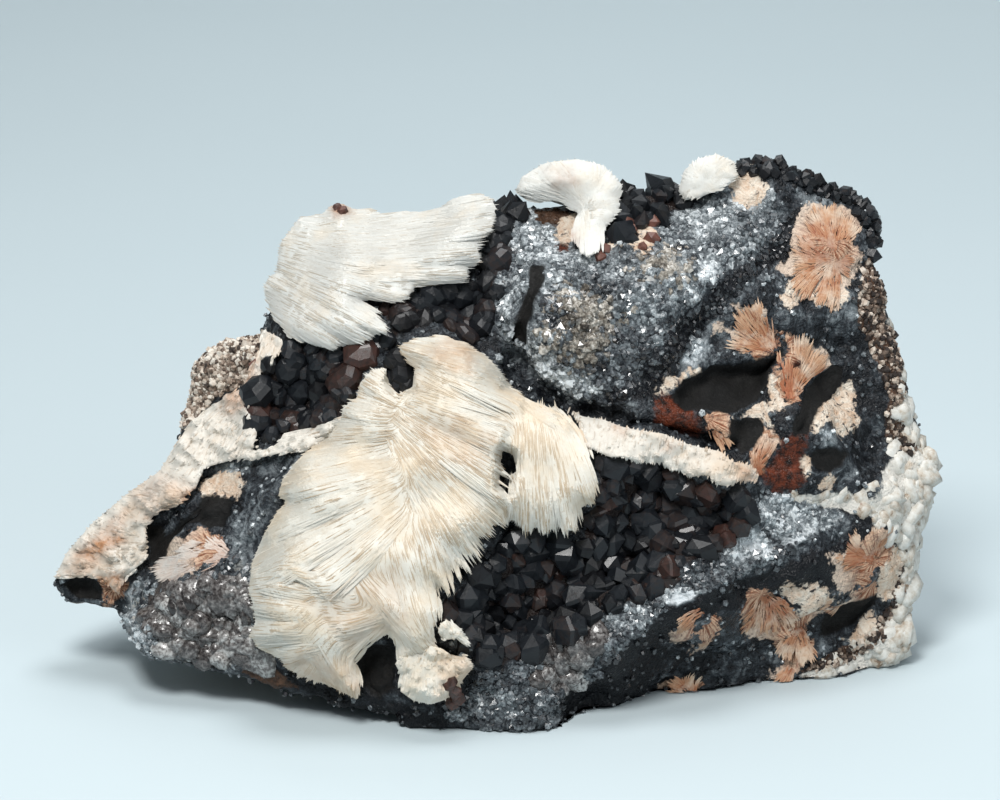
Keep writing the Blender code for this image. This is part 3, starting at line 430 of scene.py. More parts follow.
SEAM_SHEAVES = [
    (572, 408, 566, 430, 8, 10, 0.5, 2), (590, 414, 588, 452, 12, 12, 0.8, 2), (615, 419, 606, 460, 14, 14, 0.5, 2),
    (642, 427, 634, 467, 14, 14, 0.9, 2), (668, 432, 662, 474, 14, 14, 0.5, 2), (695, 442, 690, 482, 14, 14, 0.8, 2),
    (722, 448, 714, 488, 14, 14, 0.5, 2), (750, 462, 742, 486, 14, 12, 0.8, 2),
]
LEFT_CRUST_SHEAVES = [
    (189, 501, 150, 480, 5, 18, 0.9, 2), (189, 502, 134, 500, 5, 14, 0.9, 2), (189, 503, 140, 518, 5, 10, 0.7, 3),
    (150, 540, 110, 516, 5, 16, 0.9, 2), (150, 542, 102, 540, 5, 14, 0.9, 2), (150, 546, 112, 564, 5, 14, 0.9, 3),
    (118, 560, 78, 534, 6, 14, 0.7, 2), (112, 572, 62, 560, 6, 12, 0.7, 2), (100, 576, 58, 581, 6, 8, 0.5, 2),
    (205, 440, 188, 464, 10, 14, 0.6, 2), (226, 410, 204, 438, 12, 16, 0.6, 2), (246, 386, 230, 410, 10, 14, 0.6, 2),
    (262, 345, 250, 378, 8, 12, 0.6, 2), (274, 345, 268, 374, 6, 10, 0.5, 3), (240, 430, 222, 455, 14, 18, 0.6, 2),
    (265, 446, 240, 460, 8, 12, 0.5, 2), (318, 434, 282, 447, 6, 9, 0.5, 2), (116, 578, 110, 596, 6, 9, 0.5, 2),
]
ORANGE_SHEAVES = [
    (831, 250, 812, 208, 5, 12, 0.8, 5), (833, 248, 834, 202, 5, 12, 0.9, 5), (835, 250, 854, 216, 5, 11, 0.8, 5),
    (830, 256, 798, 240, 5, 12, 0.7, 6), (832, 262, 788, 262, 5, 9, 0.7, 5), (829, 262, 796, 296, 5, 14, 0.8, 6),
    (833, 264, 822, 310, 5, 13, 0.8, 6), (836, 262, 856, 268, 4, 12, 0.6, 5), (788, 396, 786, 352, 4, 8, 0.8, 5),
    (790, 394, 806, 334, 4, 10, 0.8, 5), (792, 394, 828, 350, 4, 9, 0.7, 5), (770, 348, 736, 312, 5, 10, 0.7, 6),
    (772, 350, 752, 300, 5, 8, 0.7, 6), (768, 350, 726, 340, 5, 9, 0.7, 6),
    (706, 418, 728, 446, 4, 8, 0.6, 5),
    (752, 470, 770, 436, 5, 8, 0.6, 5), (758, 474, 752, 450, 5, 8, 0.6, 5),
    (872, 560, 838, 562, 5, 10, 0.8, 5), (872, 556, 848, 538, 5, 10, 0.8, 5), (874, 554, 882, 530, 5, 10, 0.7, 4),
    (762, 598, 744, 632, 4, 9, 0.7, 5), (766, 598, 768, 636, 4, 10, 0.8, 5), (772, 598, 796, 628, 4, 9, 0.7, 5),
    (796, 630, 782, 660, 5, 9, 0.7, 5), (798, 630, 808, 664, 5, 10, 0.7, 5), (790, 668, 778, 684, 5, 8, 0.6, 3),
    (850, 590, 820, 612, 4, 7, 0.7, 4), (700, 612, 676, 636, 4, 8, 0.6, 5), (716, 622, 694, 648, 4, 6, 0.6, 5),
    (686, 690, 668, 680, 5, 8, 0.5, 4), (692, 690, 694, 676, 5, 8, 0.5, 4),
]
PINK_SHEAVES = [
    (224, 556, 150, 574, 6, 10, 0.5, 4), (222, 550, 172, 552, 6, 10, 0.5, 4), (226, 552, 206, 538, 5, 8, 0.4, 3),
]

# Gaps in the crests where the rock shows, and stains on them with their strength, in pixels
MAIN_CREST_HOLES = [
    [(388, 364), (400, 358), (413, 367), (411, 386), (398, 393), (388, 383)],
    [(504, 452), (512, 457), (516, 469), (509, 473), (503, 462)],
    [(502, 475), (510, 480), (508, 492), (502, 487)],
]
MAIN_CREST_STAINS = [
    ([(425, 352), (450, 338), (476, 350), (472, 378), (446, 372)], 0.55),
    ([(412, 425), (460, 415), (500, 440), (480, 470), (440, 460)], 0.35),
    ([(300, 600), (345, 590), (400, 560), (410, 620), (350, 650)], 0.3),
    ([(275, 668), (300, 650), (345, 660), (366, 694), (345, 702), (310, 696)], 0.45),
    ([(440, 650), (462, 645), (480, 680), (460, 704), (436, 700)], 0.45),
    ([(575, 415), (585, 412), (592, 440), (584, 440)], 0.9),
]
TOP_CREST_STAINS = [
    ([(545, 170), (575, 166), (580, 185), (555, 190)], 0.45), ([(562, 230), (575, 225), (580, 245), (566, 248)], 0.7),
]
SEAM_STAINS = [
    ([(735, 462), (752, 470), (756, 484), (738, 486)], 0.6), ([(612, 420), (630, 426), (624, 436), (610, 430)], 0.5),
    ([(664, 440), (680, 444), (672, 452), (662, 450)], 0.4),
]
SPRAY_STAINS = [
    ([(800, 228), (822, 224), (834, 250), (818, 264), (798, 252)], 0.7),
    ([(832, 256), (850, 250), (858, 270), (842, 284)], 0.5), ([(776, 362), (792, 366), (792, 400), (778, 392)], 0.9),
    ([(700, 412), (716, 412), (714, 430), (702, 428)], 0.7), ([(764, 600), (790, 600), (786, 624), (766, 620)], 0.5),
    ([(838, 552), (866, 544), (876, 566), (850, 576)], 0.5), ([(754, 446), (772, 440), (768, 474), (754, 474)], 0.5),
]
UPPER_CREST_STAINS = [([(330, 204), (346, 202), (350, 214), (334, 218)], 1.0)]
LEFT_CRUST_STAINS = [
    ([(182, 494), (198, 488), (200, 508), (184, 512)], 1.3),
    ([(130, 522), (134, 486), (160, 474), (196, 484), (200, 508), (170, 522)], 0.3),
    ([(76, 556), (92, 541), (118, 534), (124, 540), (104, 552), (88, 560)], 1.2),
    ([(219, 410), (222, 388), (244, 380), (260, 386), (248, 408), (232, 416)], 0.6),
    ([(98, 575), (122, 574), (124, 600), (104, 606)], 0.9), ([(232, 366), (258, 360), (256, 384), (236, 392)], 0.7),
    ([(60, 575), (80, 545), (110, 520), (130, 505), (120, 540), (90, 575)], 0.5),
]


def place(px, py, depth):
    """Points of the model for pixels of the front view at these depths behind its plane."""
    px, py, depth = np.broadcast_arrays(*(np.asarray(values, float) for values in (px, py, depth)))
    spread = 1 + depth / VIEW_DISTANCE
    across = (px - AXIS_PX[0]) * METRES_PER_PX * spread
    up = (AXIS_PX[1] - py) * METRES_PER_PX * spread
    away = depth * math.cos(VIEW_ELEVATION) + up * math.sin(VIEW_ELEVATION)
    height = up * math.cos(VIEW_ELEVATION) - depth * math.sin(VIEW_ELEVATION)
    return np.stack([across, away, height], -1)


SHIFT = np.array([ACROSS_SHIFT, AWAY_SHIFT, -float(place(*FOOT_PX, FOOT_DEPTH)[2])])
EYE = place(*AXIS_PX, -VIEW_DISTANCE) + SHIFT


def inside(px, py, outline):
    """Distance in pixels from each point to an outline, positive inside it, one side of the outline at a time."""
    nearest = np.full(np.shape(px), 1e9)
    within = np.zeros(np.shape(px), bool)
    corners = np.asarray(outline, float)
    for (ax, ay), (bx, by) in zip(corners, np.roll(corners, -1, axis=0)):
        run_x, run_y = bx - ax, by - ay
        along = np.clip(((px - ax) * run_x + (py - ay) * run_y) / (run_x**2 + run_y**2), 0, 1)
        nearest = np.minimum(nearest, np.hypot(px - ax - along * run_x, py - ay - along * run_y))
        if run_y:
            within ^= ((ay > py) != (by > py)) & (px < ax + (py - ay) * run_x / run_y)
    return np.where(within, nearest, -nearest)


def inside_any(px, py, outlines):
    return np.max([inside(px, py, outline) for outline in outlines], axis=0)


def smooth_step(value):
    value = np.clip(value, 0, 1)
    return value * value * (3 - 2 * value)


def outline_reach(angles, outline, centre):
    """How far the outline is from its centre, in pixels, in each direction."""
    start = np.asarray(outline, float) - centre
    run = np.roll(start, -1, axis=0) - start
    cosine, sine = np.cos(angles), np.sin(angles)
    furthest = np.zeros(len(angles))
    for (sx, sy), (rx, ry) in zip(start, run):
        cross = cosine * ry - sine * rx
        cross = np.where(np.abs(cross) < 1e-9, 1e-9, cross)
        reach = (sx * ry - sy * rx) / cross
        share = (sx * sine - sy * cosine) / cross
        hit = (reach > 0) & (share >= -1e-6) & (share <= 1 + 1e-6)
        furthest = np.maximum(furthest, np.where(hit, reach, 0))
    return furthest


def rumple(points, wavelength, seed, waves=14):
    """A smooth random swell, about -1 to 1: a sum of plane waves in seeded directions."""
    random = np.random.default_rng(seed)
    direction = random.normal(size=(waves, 3))
    direction /= np.linalg.norm(direction, axis=1)[:, None]
    number = direction * (2 * math.pi / wavelength) * random.uniform(0.6, 1.5, (waves, 1))
    return np.sin(points @ number.T + random.uniform(0, 2 * math.pi, waves)).sum(-1) / math.sqrt(waves)


def blend_depths(px, py, stations):
    """Depth in metres at each pixel, a smooth blend of the stated ones that leans to the nearest."""
    total, weights = np.zeros(np.shape(px)), np.zeros(np.shape(px))
    for station_x, station_y, depth in stations:
        weight = 1 / ((px - station_x) ** 2 + (py - station_y) ** 2 + 400) ** 2
        total += weight * depth
        weights += weight
    return total / weights * MM


def back_depth(px, py):
    """The rock's back: it leans towards the viewer as it rises, and the left arm is thinner."""
    height = np.clip((FOOT_PX[1] - py) / (FOOT_PX[1] - 160), 0, 1)
    depth = BACK_DEPTH_AT_FOOT + (BACK_DEPTH_AT_TOP - BACK_DEPTH_AT_FOOT) * height
    return depth - BACK_DEPTH_LOST_AT_LEFT_END * smooth_step((360 - px) / 300)


def relief_of(px, py, reliefs):
    """How far the rock's face stands out of its plain rounded shape, a smooth step up inside each outline."""
    return sum(height * smooth_step(inside(px, py, outline) / slope) for outline, height, slope in reliefs)


def break_away(points, share):
    """The points pushed back to each break's plane, by their share of it."""
    for azimuth, elevation, depth in BREAKS:
        azimuth, elevation = math.radians(azimuth), math.radians(elevation)
        normal = np.array([math.cos(azimuth), math.sin(azimuth), 0]) * math.cos(elevation)
        normal[2] = math.sin(elevation)
        reach = points @ normal
        beyond = np.clip(reach - reach.max() + depth * MM, 0, None)
        points = points - (beyond * share * BREAK_FLATNESS)[:, None] * normal
    return points


def normals_of(points, faces):
    """Each point's normal: the sum of the normals of the faces round it."""
    corner = points[faces]
    flat = np.cross(corner[:, 1] - corner[:, 0], corner[:, 2] - corner[:, 0])
    if faces.shape[1] == 4:
        flat = flat + np.cross(corner[:, 2] - corner[:, 0], corner[:, 3] - corner[:, 0])
    total = np.zeros_like(points)
    for column in range(faces.shape[1]):
        for axis in range(3):
            total[:, axis] += np.bincount(faces[:, column], flat[:, axis], len(points))
    return total / np.maximum(np.linalg.norm(total, axis=1), 1e-12)[:, None]


def outward(points, faces):
    """The faces turned so that their body's volume is positive."""
    corner = points[faces]
    volume = (corner[:, 0] * np.cross(corner[:, 1], corner[:, 2])).sum()
    if faces.shape[1] == 4:
        volume += (corner[:, 0] * np.cross(corner[:, 2], corner[:, 3])).sum()
    return faces if volume > 0 else faces[:, ::-1]


def piece(name, points, faces, finish, slot, replaced=(), smooth=False, **values):
    """A piece that rides on the specimen, from arrays of points and faces, with a named value per point."""
    mesh = bpy.data.meshes.new(name)
    mesh.from_pydata(np.asarray(points, float).tolist(), [], np.asarray(faces).tolist())
    for label, data in values.items():
        data = np.asarray(data, np.float32)
        if data.ndim == 2:
            mesh.attributes.new(label, "FLOAT_VECTOR", "POINT").data.foreach_set("vector", data.ravel())
        else:
            mesh.attributes.new(label, "FLOAT", "POINT").data.foreach_set("value", data)
    mesh.polygons.foreach_set("use_smooth", np.full(len(mesh.polygons), smooth))
    mesh.materials.append(finish)
    made = bpy.data.objects.new(name, mesh)
    bpy.context.scene.collection.objects.link(made)
    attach(made, "root")
    if replaced:
        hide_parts(*replaced)
    return made


# The rock

def rock_surface():
    """The rock as two square sheets sewn along their edges, the front and the back.

    A square grid is turned into a disc by x sqrt(1 - y²/2) and y sqrt(1 - x²/2). A point's distance from the
    disc's centre, by equal steps of arc, gives its place along a quarter of the curve flat³ + front³ = 1,
    from the middle of the face out to the silhouette. flat times the outline's reach gives its pixel, and
    front gives its depth between the silhouette and the face or the back."""
    side = np.linspace(-1, 1, ROCK_GRID)
    x, y = np.meshgrid(side, side)
    x, y = x * np.sqrt(1 - y**2 / 2), y * np.sqrt(1 - x**2 / 2)
    turn = np.linspace(0, math.pi / 2, 2000)
    norm = (np.sin(turn) ** EDGE_SQUARENESS + np.cos(turn) ** EDGE_SQUARENESS) ** (1 / EDGE_SQUARENESS)
    flat_curve, front_curve = np.sin(turn) / norm, np.cos(turn) / norm
    step = np.hypot(np.diff(flat_curve) * 0.085, np.diff(front_curve) * 0.045)
    arc = np.concatenate([[0], np.cumsum(step)])
    radius = np.hypot(x, y).ravel()
    radius[radius > 1 - 1e-9] = 1
    flat = np.interp(radius * arc[-1], arc, flat_curve)
    depth_share = np.interp(radius * arc[-1], arc, front_curve)
    angles = np.arctan2(y, x).ravel()
    count = ROCK_GRID * ROCK_GRID
    number = np.arange(count).reshape(ROCK_GRID, ROCK_GRID)
    edge = np.zeros((ROCK_GRID, ROCK_GRID), bool)
    edge[[0, -1]] = edge[:, [0, -1]] = True
    back_number = np.where(edge, number, count + np.cumsum(~edge).reshape(edge.shape) - 1)
    quads = []
    for grid, order in ((number, 1), (back_number, -1)):
        square = np.stack([grid[:-1, :-1], grid[:-1, 1:], grid[1:, 1:], grid[1:, :-1]], -1).reshape(-1, 4)
        quads.append(square[:, ::order])
    faces = np.concatenate(quads)
    inner = ~edge.ravel()
    flat = np.concatenate([flat, flat[inner]])
    angles = np.concatenate([angles, angles[inner]])
    front = np.concatenate([-depth_share, depth_share[inner]])
    reach = outline_reach(angles, MATRIX_OUTLINE, BODY_CENTRE_PX) * flat
    px = BODY_CENTRE_PX[0] + reach * np.cos(angles)
    py = BODY_CENTRE_PX[1] + reach * np.sin(angles)
    rim = blend_depths(px, py, RIM_DEPTHS)
    facing = smooth_step(-front * 2)
    face = blend_depths(px, py, FACE_DEPTHS) - relief_of(px, py, FACE_RELIEFS) * facing
    face = face - relief_of(px, py, FINE_RELIEFS) * facing
    depth = rim + np.where(front < 0, (face - rim) * -front, (back_depth(px, py) - rim) * front)
    points = break_away(place(px, py, depth) + SHIFT, smooth_step(front * 2.5))
    clearance = ARM_SLOPE * (ARM_START - points[:, 0])
    lifted = (points[:, 2] + clearance + np.hypot(points[:, 2] - clearance, ARM_ROUNDING)) / 2
    points[:, 2] = np.where(clearance > 0, lifted, points[:, 2])
    faces = outward(points, faces)
    swell = 0.0017 * rumple(points, 0.034, 3) + 0.0010 * rumple(points, 0.015, 4)
    swell += 0.0005 * rumple(points, 0.008, 5)
    swell *= (0.3 + 0.7 * np.abs(front)) * (1 + 0.9 * smooth_step(front))
    swell += 0.00030 * rumple(points, 0.0045, 6) + 0.0002 * np.abs(rumple(points, 0.003, 7))
    points = points + normals_of(points, faces) * swell[:, None]
    points[:, 2] = np.maximum(points[:, 2], FOOT_STEP * smooth_step(-front * 8))
    return points, faces, px, py, front


def box_blur(grid, rounds):
    """Each value averaged with its neighbours across and down, a number of times."""
    for _ in range(rounds):
        padded = np.pad(grid, 1, mode="edge")
        grid = (padded[:-2, 1:-1] + padded[2:, 1:-1] + padded[1:-1, :-2] + padded[1:-1, 2:] + grid) / 5
    return grid


def seat_map(points, faces):
    """The depth of the rock's face behind every fourth pixel, with the silhouette's depth beyond it."""
    tree = BVHTree.FromPolygons(points.tolist(), faces.tolist())
    across = np.arange(20, 980, SEAT_STEP_PX)
    down = np.arange(120, 780, SEAT_STEP_PX)
    px, py = np.meshgrid(across, down)
    rim = blend_depths(px, py, RIM_DEPTHS) - RIM_MARGIN
    through = place(px, py, 0.0) + SHIFT
    eye = Vector(EYE)
    depth = rim.copy()
    for row, column in np.argwhere(inside(px, py, MATRIX_OUTLINE) > -12):
        target = through[row, column]
        distance = np.linalg.norm(target - EYE)
        hit = tree.ray_cast(eye, Vector((target - EYE) / distance))[3]
        if hit is not None:
            depth[row, column] = min((hit / distance - 1) * VIEW_DISTANCE, rim[row, column])
    return depth


def seat(px, py, grid):
    """The rock's depth at each pixel, read between the map's four nearest values."""
    column = np.clip((np.asarray(px) - 20) / SEAT_STEP_PX, 0, grid.shape[1] - 1.001)
    row = np.clip((np.asarray(py) - 120) / SEAT_STEP_PX, 0, grid.shape[0] - 1.001)
    left, top = column.astype(int), row.astype(int)
    across, down = column - left, row - top
    upper = grid[top, left] * (1 - across) + grid[top, left + 1] * across
    lower = grid[top + 1, left] * (1 - across) + grid[top + 1, left + 1] * across
    return upper * (1 - down) + lower * down


# Barite: bodies and blades

class Crest:
    """A barite crest: its outline, gaps, stains and sheaves, and how far it stands out of the rock."""

    def __init__(self, outline, sheaves, grid, thickness, overhang, crown, edge=2.6 * MM, holes=(), stains=(),
                 lumps=0.0):
        self.outline, self.sheaves, self.grid = outline, np.asarray(sheaves, float), grid
        self.thickness, self.overhang, self.crown, self.edge = thickness, overhang, crown, edge
        self.holes, self.stains, self.lumps = holes, stains, lumps

    def within(self, px, py):
        """Distance in pixels inside the outline and outside the gaps."""
        distance = inside(px, py, self.outline)
        for hole in self.holes:
            distance = np.minimum(distance, -3 * inside(px, py, hole))
        return distance

    def depth(self, px, py):
        """The dome under the blades: the rock's depth less a rounded rise from the outline inwards."""
        rise = np.sqrt(smooth_step((self.within(px, py) + TOOTH_PX) / self.crown))
        return seat(px, py, self.grid) - self.edge - (self.thickness - self.edge) * rise

    def along_and_across(self, px, py, sheaf):
        """A sheaf's own coordinates: the share of its length, the pixels to its side, and its half width."""
        length = math.hypot(sheaf[2] - sheaf[0], sheaf[3] - sheaf[1])
        run = ((sheaf[2] - sheaf[0]) / length, (sheaf[3] - sheaf[1]) / length)
        along = ((px - sheaf[0]) * run[0] + (py - sheaf[1]) * run[1]) / length
        across = (py - sheaf[1]) * run[0] - (px - sheaf[0]) * run[1]
        half = sheaf[4] + (sheaf[5] - sheaf[4]) * np.clip(along, 0, 1)
        return along, across, half, run, length

    def lift(self, px, py):
        """How far the sheaves raise the dome: each swells towards its tip and across its width, and the
        highest of them counts."""
        highest = np.zeros(np.shape(px))
        for sheaf in self.sheaves:
            along, across, half, _, length = self.along_and_across(px, py, sheaf)
            share = smooth_step(along * 1.2) * smooth_step((1.03 - along) * length / 10)
            share = share * np.clip(1 - (across / half) ** 2, 0, 1)
            highest = np.maximum(highest, sheaf[6] * MM * share)
        points = place(px, py, 0)
        for size, part in ((0.0080, 1.0), (0.0035, 0.6), (0.0018, 0.25)):
            highest = highest + self.lumps * part * np.abs(rumple(points, size, 7))
        return highest

    def back(self, px, py):
        """The depth of the crest's back, which bulges behind the silhouette where the crest overhangs."""
        share = smooth_step((self.within(px, py) + TOOTH_PX) / self.crown)
        return seat(px, py, self.grid) + 0.0008 + self.overhang * share

    def flow(self, px, py):
        """The blades' unit direction at each pixel, and how ragged they are there: those of the nearest
        sheaves, the direction fanned by the place across."""
        total_x, total_y, ragged, sum_of = (np.zeros(np.shape(px)) for _ in range(4))
        for sheaf in self.sheaves:
            along, across, half, run, length = self.along_and_across(px, py, sheaf)
            beyond = np.clip(np.abs(along - 0.5) - 0.5, 0, None) * length
            weight = 1 / (np.clip(np.abs(across) - half * 0.7, 0, None) ** 2 + beyond**2 + 40) ** 2
            spread = (sheaf[5] - sheaf[4]) / length * np.clip(across / half, -1.4, 1.4)
            total_x += weight * (run[0] - run[1] * spread)
            total_y += weight * (run[1] + run[0] * spread)
            ragged += weight * sheaf[7]
            sum_of += weight
        size = np.maximum(np.hypot(total_x, total_y), 1e-12)
        return total_x / size, total_y / size, ragged / sum_of

    def stain(self, px, py):
        found = [strength * smooth_step(inside(px, py, patch) / 14 + 0.5) for patch, strength in self.stains]
        return np.max(found, axis=0) if found else np.zeros(np.shape(px))


def sheet_over(crest, step):
    """A grid of pixels over a crest, a little short of its ragged edges: its points, its squares, and the
    squares' open sides. Points beside that border are pulled onto it along the steepest way."""
    low, high = np.min(crest.outline, axis=0) - 3 * step, np.max(crest.outline, axis=0) + 3 * step
    px, py = np.meshgrid(np.arange(low[0], high[0], step), np.arange(low[1], high[1], step))
    distance = crest.within(px, py) - BODY_MARGIN_PX - 0.7 * crest.flow(px, py)[2]
    middle = (distance[:-1, :-1] + distance[1:, :-1] + distance[:-1, 1:] + distance[1:, 1:]) / 4
    kept = middle > 0
    number = np.arange(px.size).reshape(px.shape)
    squares = np.stack([number[:-1, :-1], number[:-1, 1:], number[1:, 1:], number[1:, :-1]], -1)[kept]
    sides = np.concatenate([squares[:, [i, (i + 1) % 4]] for i in range(4)])
    key = np.sort(sides, axis=1) @ np.array([px.size, 1])
    _, first, times = np.unique(key, return_index=True, return_counts=True)
    rim = sides[first[times == 1]]
    slope_y, slope_x = np.gradient(distance, step)
    steep = np.maximum(slope_x**2 + slope_y**2, 0.25)
    pull = np.zeros(px.size)
    pull[np.unique(rim)] = np.clip(distance.ravel()[np.unique(rim)], -step, step)
    px = px.ravel() - pull * (slope_x / steep).ravel()
    py = py.ravel() - pull * (slope_y / steep).ravel()
    used, inverse = np.unique(squares, return_inverse=True)
    renumber = np.zeros(px.size, int)
    renumber[used] = np.arange(len(used))
    return px[used], py[used], inverse.reshape(squares.shape), renumber[rim]


def crest_body(name, crest, finish, slot, replaced, seed):
    """The closed body under a crest's blades: a front sheet raised by the dome, the sheaves and fine lumps,
    and a back sheet just inside the rock, joined round their rim."""
    px, py, squares, rim = sheet_over(crest, BODY_STEP_PX)
    depth = crest.depth(px, py)
    points = place(px, py, depth) + SHIFT
    rough = 0.0001 * rumple(points, 0.004, seed)
    front = place(px, py, depth - crest.lift(px, py) - rough) + SHIFT
    back = place(px, py, crest.back(px, py) + 0.0006 * rumple(points, 0.006, seed + 1)) + SHIFT
    back[:, 2] = np.maximum(back[:, 2], 0.0005)
    count = len(px)
    walls = np.concatenate([rim, rim[:, ::-1] + count], axis=1)
    faces = np.concatenate([squares, squares[:, ::-1] + count, walls[:, [1, 0, 3, 2]]])
    points = np.concatenate([front, back])
    return piece(name, points, outward(points, faces), finish, slot, replaced, smooth=True,
                 tone=np.full(2 * count, 0.5), reach=np.full(2 * count, 0.75), stain=np.tile(crest.stain(px, py), 2))


STATIONS = np.linspace(0, 1, 6)
BLADE_WIDTHS = np.array([0.5, 0.9, 1.0, 1.0, 0.8, 0.15])
BLADE_HEIGHTS = np.array([0, 0.5, 1, 1, 0.9, 0.4])


def blade_mesh(px, py, depth, half_width, ridge):
    """Blades, each a three-cornered section carried along a path of six stations: two feet and a ridge,
    drawn to a point at both ends. The arrays hold one row per blade and one column per station."""
    run_x, run_y = np.gradient(px, axis=1), np.gradient(py, axis=1)
    length = np.maximum(np.hypot(run_x, run_y), 1e-6)
    side_x, side_y = -run_y / length * half_width, run_x / length * half_width
    left = place(px + side_x, py + side_y, depth)
    right = place(px - side_x, py - side_y, depth)
    top = place(px, py, depth - ridge)
    inner = np.stack([left, top, right], 2)[:, 1:-1].reshape(len(px), -1, 3)
    start = place(px[:, :1], py[:, :1], depth[:, :1])
    end = place(px[:, -1:], py[:, -1:], depth[:, -1:] - ridge[:, -1:])
    points = np.concatenate([start, inner, end], 1) + SHIFT
    per = points.shape[1]
    rings = np.arange(1, per - 1).reshape(-1, 3)
    pattern = [(0, rings[0][(i + 1) % 3], rings[0][i]) for i in range(3)]
    pattern += [(per - 1, rings[-1][i], rings[-1][(i + 1) % 3]) for i in range(3)]
    for here, there in zip(rings[:-1], rings[1:]):
        for i in range(3):
            after = (i + 1) % 3
            pattern += [(here[i], here[after], there[after]), (here[i], there[after], there[i])]
    faces = (np.array(pattern)[None] + np.arange(len(px))[:, None, None] * per).reshape(-1, 3)
    points = points.reshape(-1, 3)
    points[:, 2] = np.maximum(points[:, 2], 0.0004)
    return points, outward(points, faces)


def per_point(values):
    """Values by blade and station, given to each of the blade's points."""
    return np.concatenate([values[:, :1], np.repeat(values[:, 1:-1], 3, axis=1), values[:, -1:]], 1).ravel()


def undercoat(crest, spacing, seed, length=(26, 50), width=1.6, ridge=0.09, rise=0.05, behind=False):
    """Blades all over a crest's front or back that follow its flow. Each starts at a seed of a jittered grid,
    is traced eight steps each way, and is cut off where it leaves the outline, or short of it where the edge
    is ragged."""
    random = np.random.default_rng(seed)
    low, high = np.min(crest.outline, axis=0), np.max(crest.outline, axis=0)
    px, py = np.meshgrid(np.arange(low[0], high[0], spacing), np.arange(low[1], high[1], spacing))
    px = (px + random.uniform(-0.6, 0.6, px.shape) * spacing).ravel()
    py = (py + random.uniform(-0.6, 0.6, py.shape) * spacing).ravel()
    kept = crest.within(px, py) > 0
    px, py = px[kept], py[kept]
    ragged = crest.flow(px, py)[2]
    stride = random.uniform(*length, len(px)) / 16
    halves = []
    for sign in (-1, 1):
        here_x, here_y = px, py
        trail = []
        for _ in range(8):
            run_x, run_y, _ = crest.flow(here_x, here_y)
            here_x, here_y = here_x + sign * stride * run_x, here_y + sign * stride * run_y
            trail.append((here_x, here_y))
        halves.append(trail)
    trail = np.array(halves[0][::-1] + [(px, py)] + halves[1])
    path_x, path_y = trail[:, 0].T, trail[:, 1].T
    short = random.uniform(-1.2, 1.2, len(px)) + random.uniform(0.4, 0.9, len(px)) * ragged
    inner = crest.within(path_x, path_y) > short[:, None]
    forward = np.cumprod(inner[:, 8:], axis=1).sum(1) - 1
    back = np.cumprod(inner[:, 8::-1], axis=1).sum(1) - 1
    kept = forward + back > 3
    at = (8 - back)[:, None] + (forward + back)[:, None] * STATIONS
    at = np.clip(at, 0, 15.999)
    whole = at.astype(int)
    share = at - whole
    px = np.take_along_axis(path_x, whole, 1) * (1 - share) + np.take_along_axis(path_x, whole + 1, 1) * share
    py = np.take_along_axis(path_y, whole, 1) * (1 - share) + np.take_along_axis(path_y, whole + 1, 1) * share
    px, py = px[kept], py[kept]
    total = len(px)
    depth = crest.depth(px, py) - crest.lift(px, py) + 0.0001
    depth -= (random.uniform(0, rise, total) * MM)[:, None] * STATIONS**2
    half_width = random.uniform(0.7, 1.3, total)[:, None] * width * BLADE_WIDTHS
    thickness = random.uniform(0.5, 1.3, total)[:, None] * ridge * MM * BLADE_HEIGHTS
    near_edge = 0.55 + 0.45 * smooth_step(1 - crest.within(px, py) / 18)
    if behind:
        return px, py, crest.back(px, py) - 0.0002, -half_width, -2 * thickness, near_edge
    return px, py, depth, half_width, thickness, near_edge


def fine_lines(crest, spacing, seed, width=0.42):
    """Thin short blades of the deep colour that follow the flow, most where the crest is ragged. A reach
    below zero gives the colour."""
    px, py, depth, half_width, thickness, _ = undercoat(crest, spacing, seed, (9, 30), width, 0.08, 0.02)
    random = np.random.default_rng(seed + 7)
    kept = random.uniform(0, 1, len(px)) < 0.03 + 0.12 * crest.flow(px[:, 2], py[:, 2])[2]
    depth = depth - random.uniform(0.06, 0.22, len(px))[:, None] * MM
    reach = np.full(px.shape, -0.25)
    return tuple(values[kept] for values in (px, py, depth, half_width, thickness, reach))


